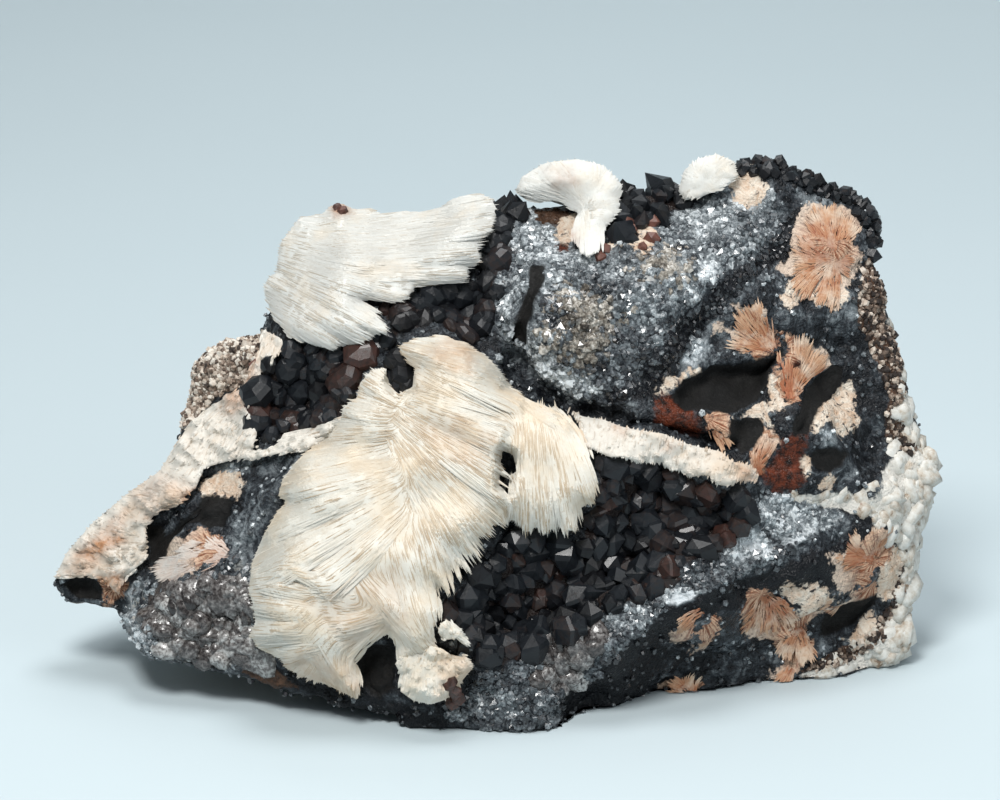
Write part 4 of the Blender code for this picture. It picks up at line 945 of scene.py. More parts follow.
def sheaf_blades(crest, seed, pitch=2.0, width=1.4, rise=0.30, ridge=0.12, clump=8.0, longest=0.75, stray=1.6):
    """Blades along each sheaf: a blade keeps its place across while the sheaf spreads, and is drawn towards the
    middle of its clump near the tip, where the clump's middle reaches furthest. Blades are cut off at the
    outline, save for their ragged tips. pitch, width and clump are pixels; rise is how far the tips stand up
    and ridge how thick a blade is, in millimetres."""
    random = np.random.default_rng(seed)
    sheaf = crest.sheaves
    span = np.hypot(sheaf[:, 2] - sheaf[:, 0], sheaf[:, 3] - sheaf[:, 1])
    count = np.maximum(10, (sheaf[:, 4] + sheaf[:, 5]) * (1 + span / 45) / pitch * 1.7).astype(int)
    which = np.repeat(np.arange(len(sheaf)), count)
    root_x, root_y, tip_x, tip_y, root_half, tip_half, lift, ragged = sheaf[which].T
    span = span[which]
    total = len(which)
    across = random.uniform(-1, 1, total)
    place_px = across * tip_half
    clump_of = np.floor(place_px / clump + 0.3 * np.sin(place_px / 5 + which))
    middle = (clump_of + 0.5) * clump
    from_middle = np.clip((place_px - middle) / clump, -0.6, 0.6)
    clump_key = (which * 31 + clump_of.astype(int)) % 997
    clump_lift = random.normal(0, 1, 997)[clump_key]
    clump_end = random.normal(0, 1, 997)[clump_key]
    inner = random.uniform(0, 1, total) < 0.45
    ends = 1 - 0.10 * across**2 - np.where(inner, random.uniform(0, 0.75, total), random.uniform(0, 0.06, total))
    ends += (clump_end * 0.5 - np.abs(from_middle) * 2.2 + random.normal(0, 0.2, total)) * ragged / span
    starts = np.maximum(ends - random.uniform(0.3, longest, total) * np.maximum(1, 40 / span), -0.08)
    run_x, run_y = (tip_x - root_x) / span, (tip_y - root_y) / span
    bow = random.normal(0, 1.5, len(sheaf))[which]
    turned = np.radians(random.normal(0, stray, total))

    def path(stations):
        at = starts[:, None] + (ends - starts)[:, None] * stations
        half = root_half[:, None] + (tip_half - root_half)[:, None] * np.clip(at, 0, 1.1) ** 0.8
        drawn = (ragged / 10)[:, None] * np.clip(at, 0, 1) ** 4 * (middle - place_px)[:, None]
        offset = across[:, None] * half + drawn + bow[:, None] * at * (1 - at) * 4
        offset = offset + turned[:, None] * (at - starts[:, None]) * span[:, None]
        px = root_x[:, None] + run_x[:, None] * at * span[:, None] - run_y[:, None] * offset
        py = root_y[:, None] + run_y[:, None] * at * span[:, None] + run_x[:, None] * offset
        return at, px, py

    fine = np.linspace(0, 1, 16)
    _, px, py = path(fine)
    allowed = random.uniform(-0.7, 0.7, total) + ragged * (0.45 + 0.25 * clump_end - 1.9 * np.abs(from_middle))
    good = crest.within(px, py) > -allowed[:, None]
    first = np.argmax(good, axis=1)
    last = first + np.cumprod(good | (np.arange(16) < first[:, None]), axis=1).sum(1) - first - 1
    span_of = ends - starts
    starts, ends = starts + span_of * first / 15, starts + span_of * np.maximum(last, first) / 15
    kept = last - first > 3
    at, px, py = path(STATIONS)
    own = lift[:, None] * MM * smooth_step(at * 1.2) * (1 - 0.93 * across[:, None] ** 2)
    lifted = np.maximum(crest.lift(px, py), own)
    tip_rise = random.uniform(0.1, 0.6, total) + clump_lift * 0.25 - 1.2 * from_middle**2
    tip_rise = np.maximum(tip_rise, 0) * rise * (0.25 + ragged / 10 * (ends > 0.8)) * MM
    depth = crest.depth(px, py) - lifted - tip_rise[:, None] * STATIONS**1.8 + 0.0001
    half_width = random.uniform(0.7, 1.3, total)[:, None] * width * BLADE_WIDTHS
    thickness = (random.uniform(0.6, 1.3, total) * (0.5 + ragged / 12))[:, None] * ridge * MM * BLADE_HEIGHTS
    return tuple(values[kept] for values in (px, py, depth, half_width, thickness, np.clip(at, 0, 1)))


def blades(name, crest, finish, slot, replaced, seed, *coats):
    """One piece of all the blades in these coats, each with a tone of its own."""
    px, py, depth, half_width, ridge, reach = (np.concatenate(parts) for parts in zip(*coats))
    points, faces = blade_mesh(px, py, depth, half_width, ridge)
    tone = np.random.default_rng(seed).uniform(0, 1, len(px))[:, None] * np.ones(6)
    return piece(name, points, faces, finish, slot, replaced,
                 tone=per_point(tone), reach=per_point(reach), stain=per_point(crest.stain(px, py)))


# Crystals and grains

def frames_on(normal, random, tilt):
    """Three axes for each crystal: its own, tilted at random from the normal, and two across it."""
    axis = normal + random.normal(0, tilt, normal.shape)
    axis /= np.linalg.norm(axis, axis=1)[:, None]
    helper = np.where(np.abs(axis[:, :1]) < 0.8, [[1.0, 0, 0]], [[0, 1.0, 0]])
    first = np.cross(axis, helper)
    first /= np.linalg.norm(first, axis=1)[:, None]
    return axis, first, np.cross(axis, first)


def crystal_mesh(centre, normal, size, random, tilt=0.35, sides=6, rings=((0.9, -0.6), (1.0, 0.5)), point=1.2,
                 uneven=0.18, lean=0.16, slant=0.2):
    """Quartz points: each a stack of many-sided rings, given as their radius and height in shares of the
    crystal's size, under an apex that leans a little to one side, and closed below by a second apex."""
    axis, first, second = frames_on(normal, random, tilt)
    count = len(centre)
    turn = np.arange(sides) * 2 * math.pi / sides + random.uniform(0, 2 * math.pi, (count, 1))
    radius = size[:, None] * (1 + random.uniform(-uneven, uneven, (count, sides)))
    ring = (np.cos(turn) * radius)[..., None] * first[:, None] + (np.sin(turn) * radius)[..., None] * second[:, None]
    stretch = random.uniform(0.7, 1.3, count)
    slope = random.uniform(-slant, slant, (count, sides)) * size[:, None]
    side_step = (first * random.normal(0, lean, (count, 1)) + second * random.normal(0, lean, (count, 1)))
    side_step = side_step * size[:, None]
    layers = []
    for share, height in rings:
        rise = (size * height * np.where(height > 0, stretch, 1))[:, None, None]
        tilted = slope[..., None] * (height > 0)
        layers.append(centre[:, None] + ring * share + (rise + tilted) * axis[:, None])
    apex = centre + axis * (size * point * stretch)[:, None] + side_step
    below = centre + axis * (size * (rings[0][1] - 0.2))[:, None]
    points = np.concatenate(layers + [apex[:, None], below[:, None]], 1)
    last = len(rings) * sides
    pattern = []
    for i in range(sides):
        after = (i + 1) % sides
        for low in range(0, last - sides, sides):
            pattern += [(low + i, low + after, low + sides + after), (low + i, low + sides + after, low + sides + i)]
        pattern += [(last - sides + i, last - sides + after, last), (after, i, last + 1)]
    per = last + 2
    faces = (np.array(pattern)[None] + np.arange(count)[:, None, None] * per).reshape(-1, 3)
    points = points.reshape(-1, 3)
    points[:, 2] = np.maximum(points[:, 2], 0.0003)
    return points, outward(points, faces), per


def spread_out(chosen, points, spacing, random):
    """From the chosen points, one taken at random in each cube of this spacing."""
    order = random.permutation(np.flatnonzero(chosen))
    cell = np.floor(points[order] / spacing).astype(int)
    _, first = np.unique(cell, axis=0, return_index=True)
    return order[first]


# Finishes

class Nodes:
    """A short hand for building a node tree."""

    def __init__(self, tree):
        self.tree = tree

    def add(self, kind, **settings):
        node = self.tree.nodes.new(kind)
        for label, value in settings.items():
            setattr(node, label, value)
        return node

    def link(self, value, socket):
        """Feeds a socket from another socket, or sets it to a plain number or colour."""
        if isinstance(value, bpy.types.NodeSocket):
            self.tree.links.new(value, socket)
        elif isinstance(value, tuple) and len(value) == 3 and socket.type == "RGBA":
            socket.default_value = (*value, 1)
        else:
            socket.default_value = value

    def math(self, operation, *values):
        node = self.add("ShaderNodeMath", operation=operation)
        for value, socket in zip(values, node.inputs):
            self.link(value, socket)
        return node.outputs[0]

    def mix(self, share, first, second, blend="MIX"):
        node = self.add("ShaderNodeMix", data_type="RGBA", blend_type=blend)
        self.link(share, node.inputs[0])
        self.link(first, node.inputs[6])
        self.link(second, node.inputs[7])
        return node.outputs[2]

    def between(self, value, low, high, to_low=0.0, to_high=1.0):
        node = self.add("ShaderNodeMapRange")
        for data, socket in zip((value, low, high, to_low, to_high), node.inputs):
            self.link(data, socket)
        return node.outputs[0]

    def place(self, scale=(1, 1, 1)):
        coordinates = self.add("ShaderNodeTexCoord").outputs["Object"]
        mapping = self.add("ShaderNodeMapping")
        self.link(coordinates, mapping.inputs["Vector"])
        mapping.inputs["Scale"].default_value = scale
        return mapping.outputs[0]

    def noise(self, size, detail=3.0, roughness=0.55, vector=None, distortion=0.0):
        """A cloud of values about 0 to 1 whose lumps are this many metres across."""
        node = self.add("ShaderNodeTexNoise")
        self.link(vector or self.place(), node.inputs["Vector"])
        node.inputs["Scale"].default_value = 1 / size
        node.inputs["Detail"].default_value = detail
        node.inputs["Roughness"].default_value = roughness
        node.inputs["Distortion"].default_value = distortion
        return node.outputs["Fac"]

    def cells(self, size, vector=None, feature="F1", output="Color"):
        """Grains this many metres across, each with its own value."""
        node = self.add("ShaderNodeTexVoronoi", feature=feature)
        self.link(vector or self.place(), node.inputs["Vector"])
        node.inputs["Scale"].default_value = 1 / size
        return node.outputs[output]

    def value(self, name, output="Fac"):
        return self.add("ShaderNodeAttribute", attribute_name=name).outputs[output]

    def group(self, tree, **inputs):
        node = self.add("ShaderNodeGroup", node_tree=tree)
        for label, value in inputs.items():
            self.link(value, node.inputs[label.replace("_", " ")])
        return node


def new_group(name, inputs, outputs):
    """An empty node group with named sockets, and its input and output nodes."""
    tree = bpy.data.node_groups.new(name, "ShaderNodeTree")
    for label, kind, value in inputs:
        socket = tree.interface.new_socket(label, in_out="INPUT", socket_type=kind)
        if value is not None:
            socket.default_value = value
    for label, kind in outputs:
        tree.interface.new_socket(label, in_out="OUTPUT", socket_type=kind)
    nodes = Nodes(tree)
    return tree, nodes, nodes.add("NodeGroupInput"), nodes.add("NodeGroupOutput")


def make_ragged_edge():
    """A patch's mask: its distance in millimetres, roughened by two sizes of noise, then cut at zero."""
    tree, nodes, given, result = new_group(
        "ragged edge",
        [("Distance", "NodeSocketFloat", 0.0), ("Raggedness", "NodeSocketFloat", 2.0),
         ("Softness", "NodeSocketFloat", 0.4)],
        [("Mask", "NodeSocketFloat")],
    )
    coarse = nodes.math("SUBTRACT", nodes.noise(0.006, 4, 0.65), 0.5)
    fine = nodes.math("SUBTRACT", nodes.noise(0.0016, 3, 0.6), 0.5)
    both = nodes.math("MULTIPLY_ADD", coarse, 2.2, nodes.math("MULTIPLY", fine, 1.4))
    moved = nodes.math("MULTIPLY_ADD", both, given.outputs[1], given.outputs[0])
    low = nodes.math("MULTIPLY", given.outputs[2], -1.0)
    nodes.link(nodes.between(moved, low, given.outputs[2]), result.inputs[0])
    return tree


def make_grain():
    """Grains of a stated size: a value per grain, and a height that is cut into flat-topped grains."""
    tree, nodes, given, result = new_group(
        "grain",
        [("Grains per metre", "NodeSocketFloat", 700.0)],
        [("Value", "NodeSocketFloat"), ("Height", "NodeSocketFloat")],
    )
    vector = nodes.place()
    cells = nodes.add("ShaderNodeTexVoronoi")
    nodes.link(vector, cells.inputs["Vector"])
    nodes.link(given.outputs[0], cells.inputs["Scale"])
    nodes.link(nodes.math("MULTIPLY", cells.outputs["Color"], 1.0), result.inputs[0])
    height = nodes.math("SUBTRACT", 1.0, cells.outputs["Distance"])
    height = nodes.math("MULTIPLY_ADD", nodes.noise(0.0006, 2), 0.3, height)
    nodes.link(height, result.inputs[1])
    return tree


RAGGED_EDGE = make_ragged_edge()
GRAIN = make_grain()


def new_finish(name, **settings):
    """A material, its node builder and its shader, with plain values set on the shader's own sockets."""
    made = bpy.data.materials.new(name)
    made.use_nodes = True
    nodes = Nodes(made.node_tree)
    shader = made.node_tree.nodes["Principled BSDF"]
    for label, value in settings.items():
        shader.inputs[label.replace("_", " ")].default_value = value
    return made, nodes, shader


def bump(nodes, shader, height, strength, distance):
    node = nodes.add("ShaderNodeBump")
    node.inputs["Strength"].default_value = strength
    node.inputs["Distance"].default_value = distance
    nodes.link(height, node.inputs["Height"])
    nodes.link(node.outputs[0], shader.inputs["Normal"])


def rock_finish():
    """The rock: black and blue-grey quartz, with its patches laid over one another by their masks."""
    made, nodes, shader = new_finish("banded quartz rock", Specular_IOR_Level=0.2)
    zones = [nodes.add("ShaderNodeSeparateXYZ") for _ in range(4)]
    for node, label in zip(zones, ("patches_a", "patches_b", "patches_c", "patches_d")):
        nodes.link(nodes.value(label, "Vector"), node.inputs[0])
    black, orange, spare = zones[0].outputs
    sandy, brown, rind = zones[1].outputs
    rust, cream, bed = zones[2].outputs
    paleness_and_painted_shade, behind, warm_quartz = zones[3].outputs

    def mask(distance, ragged, soft=0.3):
        return nodes.group(RAGGED_EDGE, Distance=distance, Raggedness=ragged, Softness=soft).outputs[0]

    coarse = nodes.group(GRAIN, Grains_per_metre=420.0)
    fine = nodes.group(GRAIN, Grains_per_metre=1300.0)
    clouds = nodes.noise(0.011, 5, 0.6)
    curls = nodes.noise(0.004, 5, 0.7, None, 1.2)
    shade = nodes.math("MULTIPLY_ADD", coarse.outputs[0], 0.5, nodes.math("MULTIPLY", fine.outputs[0], 0.5))
    # the paleness values carry the quartz's paler and darker parts, and painted shade on the dome's lower right flank
    # and in the step by its right edge
    level = nodes.math("ADD", paleness_and_painted_shade, nodes.between(nodes.noise(0.009, 6, 0.7), 0.3, 0.7, -0.32, 0.32))
    level = nodes.math("ADD", level, nodes.between(curls, 0.35, 0.65, -0.26, 0.26))
    level = nodes.math("MULTIPLY_ADD", nodes.math("SUBTRACT", shade, 0.5), 0.22, level)
    colour = nodes.mix(nodes.between(level, 0.0, 0.35), (0.006, 0.007, 0.009), (0.040, 0.047, 0.055))
    colour = nodes.mix(nodes.between(level, 0.3, 0.65), colour, (0.20, 0.225, 0.24))
    colour = nodes.mix(nodes.between(level, 0.65, 1.0), colour, (0.60, 0.64, 0.67))
    # painted glints: pale specks in the dark quartz's colour stand for its sparkles
    painted_glint = nodes.math("MULTIPLY", nodes.between(fine.outputs[0], 0.90, 0.94), nodes.between(clouds, 0.4, 0.6))
    colour = nodes.mix(nodes.math("MULTIPLY", painted_glint, nodes.between(level, 0.0, 0.4, 0.15, 0.7)), colour, (0.60, 0.65, 0.69))
    warm = nodes.math("MULTIPLY", mask(warm_quartz, 3.0, 2.0), nodes.between(curls, 0.40, 0.60, 0.1, 0.8))
    colour = nodes.mix(warm, colour, nodes.mix(level, (0.045, 0.034, 0.028), (0.42, 0.37, 0.30)))
    bed_colour = nodes.mix(clouds, (0.007, 0.006, 0.007), (0.026, 0.017, 0.014))
    colour = nodes.mix(mask(bed, 1.0), colour, bed_colour)
    sand = nodes.mix(shade, (0.07, 0.048, 0.036), (0.42, 0.35, 0.29))
    sand = nodes.mix(nodes.between(nodes.noise(0.004, 3), 0.55, 0.75), sand, (0.60, 0.55, 0.48))
    earth = nodes.mix(shade, (0.014, 0.009, 0.007), (0.12, 0.065, 0.040))
    back_rock = nodes.mix(nodes.between(nodes.noise(0.030, 5, 0.6), 0.42, 0.60), earth, sand)
    bands = nodes.between(nodes.noise(0.022, 5, 0.6, nodes.place((0.5, 1, 1.6)), 0.8), 0.54, 0.66)
    back_rock = nodes.mix(bands, back_rock, nodes.mix(shade, (0.05, 0.056, 0.062), (0.34, 0.36, 0.37)))
    veins = nodes.math("ABSOLUTE", nodes.math("SUBTRACT", nodes.noise(0.045, 6, 0.6), 0.5))
    vein = nodes.math("MULTIPLY", nodes.between(veins, 0.003, 0.012, 1.0, 0.0), nodes.between(clouds, 0.45, 0.6))
    back_rock = nodes.mix(nodes.math("MULTIPLY", vein, 0.45), back_rock, (0.56, 0.52, 0.46))
    colour = nodes.mix(mask(behind, 4.0, 1.0), colour, back_rock)
    colour = nodes.mix(mask(sandy, 1.6), colour, sand)
    colour = nodes.mix(mask(brown, 1.6), colour, earth)
    white = nodes.mix(nodes.noise(0.005, 4, 0.6), (0.52, 0.49, 0.44), (0.72, 0.71, 0.67))
    white = nodes.mix(nodes.between(nodes.noise(0.007, 3), 0.6, 0.75), white, (0.50, 0.40, 0.30))
    colour = nodes.mix(mask(rind, 1.6), colour, white)
    pale_cream = nodes.mix(nodes.between(curls, 0.35, 0.65), (0.52, 0.36, 0.25), (0.72, 0.66, 0.57))
    dark_bits = nodes.between(nodes.noise(0.0030, 5, 0.7, None, 1.5), 0.57, 0.62)
    pale_cream = nodes.mix(dark_bits, pale_cream, (0.05, 0.045, 0.045))
    colour = nodes.mix(mask(cream, 2.8), colour, pale_cream)
    fibres = nodes.add("ShaderNodeVectorMath", operation="NORMALIZE")
    fan = nodes.value("fan", "Vector")
    nodes.link(fan, fibres.inputs[0])
    length = nodes.add("ShaderNodeVectorMath", operation="LENGTH")
    nodes.link(fan, length.inputs[0])
    along = nodes.add("ShaderNodeCombineXYZ")
    nodes.link(nodes.math("MULTIPLY", length.outputs["Value"], 0.02), along.inputs[2])
    streak_at = nodes.add("ShaderNodeVectorMath", operation="ADD")
    nodes.link(fibres.outputs[0], streak_at.inputs[0])
    nodes.link(along.outputs[0], streak_at.inputs[1])
    streaks = nodes.noise(0.09, 5, 0.65, streak_at.outputs[0])
    spray = nodes.mix(nodes.between(streaks, 0.42, 0.56), (0.20, 0.065, 0.030), (0.58, 0.38, 0.26))
    outer = nodes.math("MULTIPLY_ADD", nodes.math("SUBTRACT", clouds, 0.5), 12.0, length.outputs["Value"])
    spray = nodes.mix(nodes.between(outer, 5.0, 11.0, 0.0, 0.75), spray, (0.64, 0.55, 0.46))
    spray = nodes.mix(nodes.math("MULTIPLY", dark_bits, 0.6), spray, (0.08, 0.05, 0.045))
    colour = nodes.mix(mask(orange, 2.6), colour, spray)
    rusty = nodes.mix(nodes.between(nodes.noise(0.0025, 4, 0.7), 0.38, 0.62), (0.010, 0.005, 0.004), (0.13, 0.030, 0.013))
    colour = nodes.mix(mask(rust, 2.6, 0.8), colour, rusty)
    void = mask(black, 0.7)
    colour = nodes.mix(void, colour, nodes.mix(clouds, (0.003, 0.0035, 0.004), (0.012, 0.011, 0.010)))
    nodes.link(colour, shader.inputs["Base Color"])
    dull = nodes.math("MAXIMUM", mask(behind, 4.0), nodes.math("MAXIMUM", mask(orange, 2.6), mask(rind, 1.6)))
    dull = nodes.math("MAXIMUM", dull, nodes.math("MAXIMUM", void, mask(cream, 2.8)))
    rough = nodes.between(fine.outputs[0], 0.0, 1.0, 0.18, 0.55)
    rough = nodes.math("MULTIPLY_ADD", dull, 0.35, rough)
    nodes.link(rough, shader.inputs["Roughness"])
    height = nodes.math("MULTIPLY_ADD", coarse.outputs[1], 0.5, nodes.math("MULTIPLY", fine.outputs[1], 0.4))
    height = nodes.math("MULTIPLY", height, nodes.between(void, 0.0, 1.0, 1.0, 0.15))
    height = nodes.math("MULTIPLY_ADD", curls, 0.8, height)
    bump(nodes, shader, height, 0.8, 0.0010)
    return made


def barite_finish(name, deep, middle, bright, cloudy, cloud_from, stained, deep_share=0.05, cloud_size=0.018,
                  deepness=0.5):
    """Barite: a deep tan at the blades' roots, partly the barite's own tan and partly painted shade in the grooves
    where the blades start, bright along their tips, with warm clouds, and stained where the stain value says."""
    made, nodes, shader = new_finish(name, Specular_IOR_Level=0.3)
    tone, reach, stain = nodes.value("tone"), nodes.value("reach"), nodes.value("stain")
    share = nodes.math("MULTIPLY_ADD", reach, 0.7, nodes.math("MULTIPLY", tone, 0.4))
    # painted shade: a low reach, at the blades' roots, mixes in the deep colour and darkens the grooves where blades
    # start
    colour = nodes.mix(nodes.between(share, 0.0, 0.35), deep, middle)
    colour = nodes.mix(nodes.between(share, 0.35, 0.95), colour, bright)
    few = nodes.math("MULTIPLY", nodes.between(tone, 1 - deep_share, 1.01 - deep_share), deepness)
    colour = nodes.mix(few, colour, deep)
    cloud = nodes.between(nodes.noise(cloud_size, 4, 0.6), cloud_from, cloud_from + 0.2)
    colour = nodes.mix(nodes.math("MULTIPLY", cloud, 0.7), colour, cloudy)
    fibre = nodes.noise(0.0009, 2)
    colour = nodes.mix(nodes.between(fibre, 0.3, 0.5, 0.16, 0.0), colour, deep)
    patchy = nodes.math("MULTIPLY", stain, nodes.between(nodes.noise(0.0035, 4, 0.65), 0.30, 0.62, 0.25, 1.0))
    colour = nodes.mix(patchy, colour, stained)
    nodes.link(colour, shader.inputs["Base Color"])
    nodes.link(nodes.between(fibre, 0.3, 0.7, 0.45, 0.65), shader.inputs["Roughness"])
    bump(nodes, shader, fibre, 0.3, 0.0003)
    return made


def crystal_finish(name, colours, roughness, coat, mottled=0.35, mottle_size=0.0016, shine=0.5):
    """Quartz crystals: each has one of four colours by its own value, with finer growth marks on it."""
    made, nodes, shader = new_finish(name, Specular_IOR_Level=shine, Coat_Weight=coat, Coat_Roughness=0.09)
    ramp = nodes.add("ShaderNodeValToRGB")
    while len(ramp.color_ramp.elements) < len(colours):
        ramp.color_ramp.elements.new(0.5)
    for element, (at, colour) in zip(ramp.color_ramp.elements, colours):
        element.position = at
        element.color = (*colour, 1)
    mottle = nodes.noise(mottle_size, 4, 0.65)
    value = nodes.math("ADD", nodes.value("tone"), nodes.between(mottle, 0.3, 0.7, -mottled, mottled))
    nodes.link(value, ramp.inputs[0])
    nodes.link(ramp.outputs[0], shader.inputs["Base Color"])
    nodes.link(nodes.between(mottle, 0.3, 0.7, roughness, roughness + 0.25), shader.inputs["Roughness"])
    bump(nodes, shader, nodes.noise(0.0006, 3), 0.3, 0.0003)
    return made


# Building

BLOCKY = ((0.9, -0.7), (1.0, 0.15), (0.88, 0.42))
ROUNDED = ((0.75, -0.6), (1.0, 0.0), (0.92, 0.34), (0.62, 0.60))
SHORT = ((0.9, -0.7), (1.0, 0.25))
FLAT = ((0.9, -0.8), (1.0, -0.05))


def build_specimen():
    rock_look = rock_finish()
    warm_white = barite_finish(
        "warm white barite", (0.48, 0.38, 0.27), (0.66, 0.62, 0.54), (0.70, 0.68, 0.62), (0.67, 0.56, 0.42), 0.46,
        (0.48, 0.30, 0.17), 0.05, 0.012)
    cool_white = barite_finish(
        "cool white barite", (0.47, 0.42, 0.35), (0.62, 0.61, 0.57), (0.66, 0.665, 0.64), (0.66, 0.59, 0.49), 0.52,
        (0.36, 0.20, 0.12), 0.05, 0.012)
    cream_barite = barite_finish(
        "cream barite", (0.38, 0.29, 0.21), (0.58, 0.53, 0.46), (0.67, 0.65, 0.60), (0.58, 0.45, 0.33), 0.50,
        (0.44, 0.22, 0.11), 0.10)
    orange_barite = barite_finish(
        "orange barite", (0.20, 0.055, 0.022), (0.40, 0.185, 0.095), (0.52, 0.34, 0.22), (0.66, 0.56, 0.45), 0.44,
        (0.30, 0.085, 0.035), 0.16, 0.005, 0.8)
    pink_barite = barite_finish(
        "pink barite", (0.42, 0.24, 0.17), (0.62, 0.50, 0.43), (0.70, 0.64, 0.58), (0.66, 0.66, 0.64), 0.46,
        (0.44, 0.22, 0.11), 0.15, 0.006)
    dark_quartz = crystal_finish(
        "dark coated quartz",
        [(0.0, (0.004, 0.004, 0.005)), (0.5, (0.010, 0.0125, 0.016)), (0.75, (0.024, 0.015, 0.013)),
         (1.0, (0.050, 0.020, 0.015))], 0.30, 0.22, 0.15, shine=0.24)
    smoky_quartz = crystal_finish(
        "smoky quartz",
        [(0.0, (0.014, 0.011, 0.011)), (0.35, (0.060, 0.052, 0.050)), (0.7, (0.18, 0.17, 0.165)),
         (1.0, (0.44, 0.44, 0.43))], 0.16, 0.4, 0.45, 0.0011)
    grey_quartz = crystal_finish(
        "grey quartz grains",
        [(0.0, (0.010, 0.011, 0.014)), (0.35, (0.055, 0.064, 0.073)), (0.65, (0.20, 0.225, 0.24)),
         (1.0, (0.66, 0.70, 0.72))], 0.12, 0.5, 0.34, 0.0009)
    warm_quartz = crystal_finish(
        "warm quartz grains",
        [(0.0, (0.016, 0.013, 0.011)), (0.35, (0.085, 0.072, 0.058)), (0.65, (0.26, 0.235, 0.20)),
         (1.0, (0.66, 0.63, 0.58))], 0.12, 0.5, 0.34, 0.0009)
    rusty_quartz = crystal_finish(
        "rust coated quartz",
        [(0.0, (0.010, 0.006, 0.005)), (0.5, (0.035, 0.016, 0.012)), (0.8, (0.085, 0.032, 0.022)),
         (1.0, (0.13, 0.050, 0.035))], 0.34, 0.1, 0.2)
    host_grains = crystal_finish(
        "host rock grains",
        [(0.0, (0.02, 0.012, 0.009)), (0.30, (0.16, 0.11, 0.08)), (0.6, (0.48, 0.40, 0.33)),
         (1.0, (0.70, 0.65, 0.58))], 0.6, 0.0)
    white_quartz = crystal_finish(
        "white massive quartz",
        [(0.0, (0.22, 0.15, 0.10)), (0.25, (0.44, 0.38, 0.31)), (0.6, (0.55, 0.53, 0.48)),
         (1.0, (0.66, 0.655, 0.62))], 0.4, 0.0, 0.42)

    points, faces, px, py, front = rock_surface()
    to_mm = METRES_PER_PX / MM
    facing = -14 * smooth_step((front - 0.04) * 4)

    def patch(outlines):
        return np.clip(inside_any(px, py, outlines) * to_mm, -8, 8) + facing

    def soft(outlines, width):
        return smooth_step(inside_any(px, py, outlines) / width + 0.5)

    # painted shade: the paleness values darken the dome's lower right flank and the step by its right edge, along with
    # the quartz's own paler and darker parts
    paleness_and_painted_shade = 0.14 + sum(change * soft([outline], width) for outline, change, width in PALENESS_AND_PAINTED_SHADE)
    away = np.array([(px - x, py - y) for x, y in FAN_CENTRES]) * to_mm
    nearest = np.argmin(np.hypot(away[:, 0], away[:, 1]), axis=0)
    fan = np.stack([away[nearest, 0, np.arange(len(px))], away[nearest, 1, np.arange(len(px))], px * 0], -1)
    layers = {
        "patches_a": [patch(BLACK_VOIDS), patch(ORANGE_PATCHES), px * 0],
        "patches_b": [patch(SANDY_PATCHES), patch(BROWN_PATCHES), patch(RIND_PATCHES)],
        "patches_c": [patch(RUST_PATCHES), patch(CREAM_PATCHES), patch(CRYSTAL_BEDS)],
        "patches_d": [paleness_and_painted_shade, front * 30 - 3, patch(WARM_QUARTZ)],
    }
    piece(
        "banded_quartz_rock", points, faces, rock_look, "rock", ("matrix",), smooth=True, fan=fan,
        **{label: np.stack(values, -1) for label, values in layers.items()},
    )
    depths = seat_map(points, faces)
    soft_depths = box_blur(depths, 10)

    def crest(outline, sheaves, thickness, overhang, crown, **more):
        return Crest(outline, sheaves, soft_depths, thickness, overhang, crown, **more)

    main = crest(MAIN_CREST_OUTLINE, MAIN_CREST_SHEAVES, 0.012, 0.004, 40, holes=MAIN_CREST_HOLES,
                 stains=MAIN_CREST_STAINS)
    upper = crest(UPPER_CREST_OUTLINE, UPPER_CREST_SHEAVES, 0.011, 0.009, 40, stains=UPPER_CREST_STAINS)
    top = crest(TOP_CREST_OUTLINE, TOP_CREST_SHEAVES, 0.009, 0.012, 30, stains=TOP_CREST_STAINS)
    small = crest(SMALL_CREST_OUTLINE, SMALL_CREST_SHEAVES, 0.007, 0.010, 24)
    seam = crest(SEAM_OUTLINE, SEAM_SHEAVES, 0.0034, 0.001, 12, edge=1.2 * MM, lumps=0.0012,
                 stains=SEAM_STAINS)
    crust = crest(LEFT_CRUST_OUTLINE, LEFT_CRUST_SHEAVES, 0.0042, 0.006, 22, edge=1.4 * MM,
                  stains=LEFT_CRUST_STAINS, lumps=0.0018)
    foot = crest(RIGHT_FOOT_OUTLINE, RIGHT_FOOT_SHEAVES, 0.0085, 0.002, 22, edge=1.6 * MM, lumps=0.0016,
                 stains=MAIN_CREST_STAINS)
    lump = crest(WHITE_LUMP_OUTLINE, WHITE_LUMP_SHEAVES, 0.0045, 0.001, 12, edge=1.2 * MM, lumps=0.0010)
    for name, label, shape, finish, slot, seed in (
        ("main_crest", "main_barite_crest", main, warm_white, "white_barite", 11),
        ("white_lump", "main_barite_crest", lump, warm_white, "white_barite", 15),
        ("right_foot", "main_barite_crest", foot, warm_white, "white_barite", 17),
        ("upper_crest", "upper_barite_crest", upper, cool_white, "white_barite", 21),
        ("top_crest", "top_barite_crest", top, cool_white, "white_barite", 31),
        ("small_crest", "small_barite_crest", small, cool_white, "white_barite", 41),
        ("seam", "barite_seam", seam, cream_barite, "cream_barite", 51),
        ("left_crust", "left_barite_crust", crust, cream_barite, "cream_barite", 61),
    ):
        crest_body(name + "_body", shape, finish, slot, (label,), seed)
        if shape.lumps:
            coats = [undercoat(shape, 5.0, seed + 1, (8, 20), 1.2, 0.10),
                     sheaf_blades(shape, seed + 2, width=1.1, rise=0.15, ridge=0.14, clump=5.0, longest=0.5)]
        elif shape in (top, small):
            coats = [undercoat(shape, 4.0, seed + 1, ridge=0.07), sheaf_blades(shape, seed + 2, rise=0.12, ridge=0.06)]
        else:
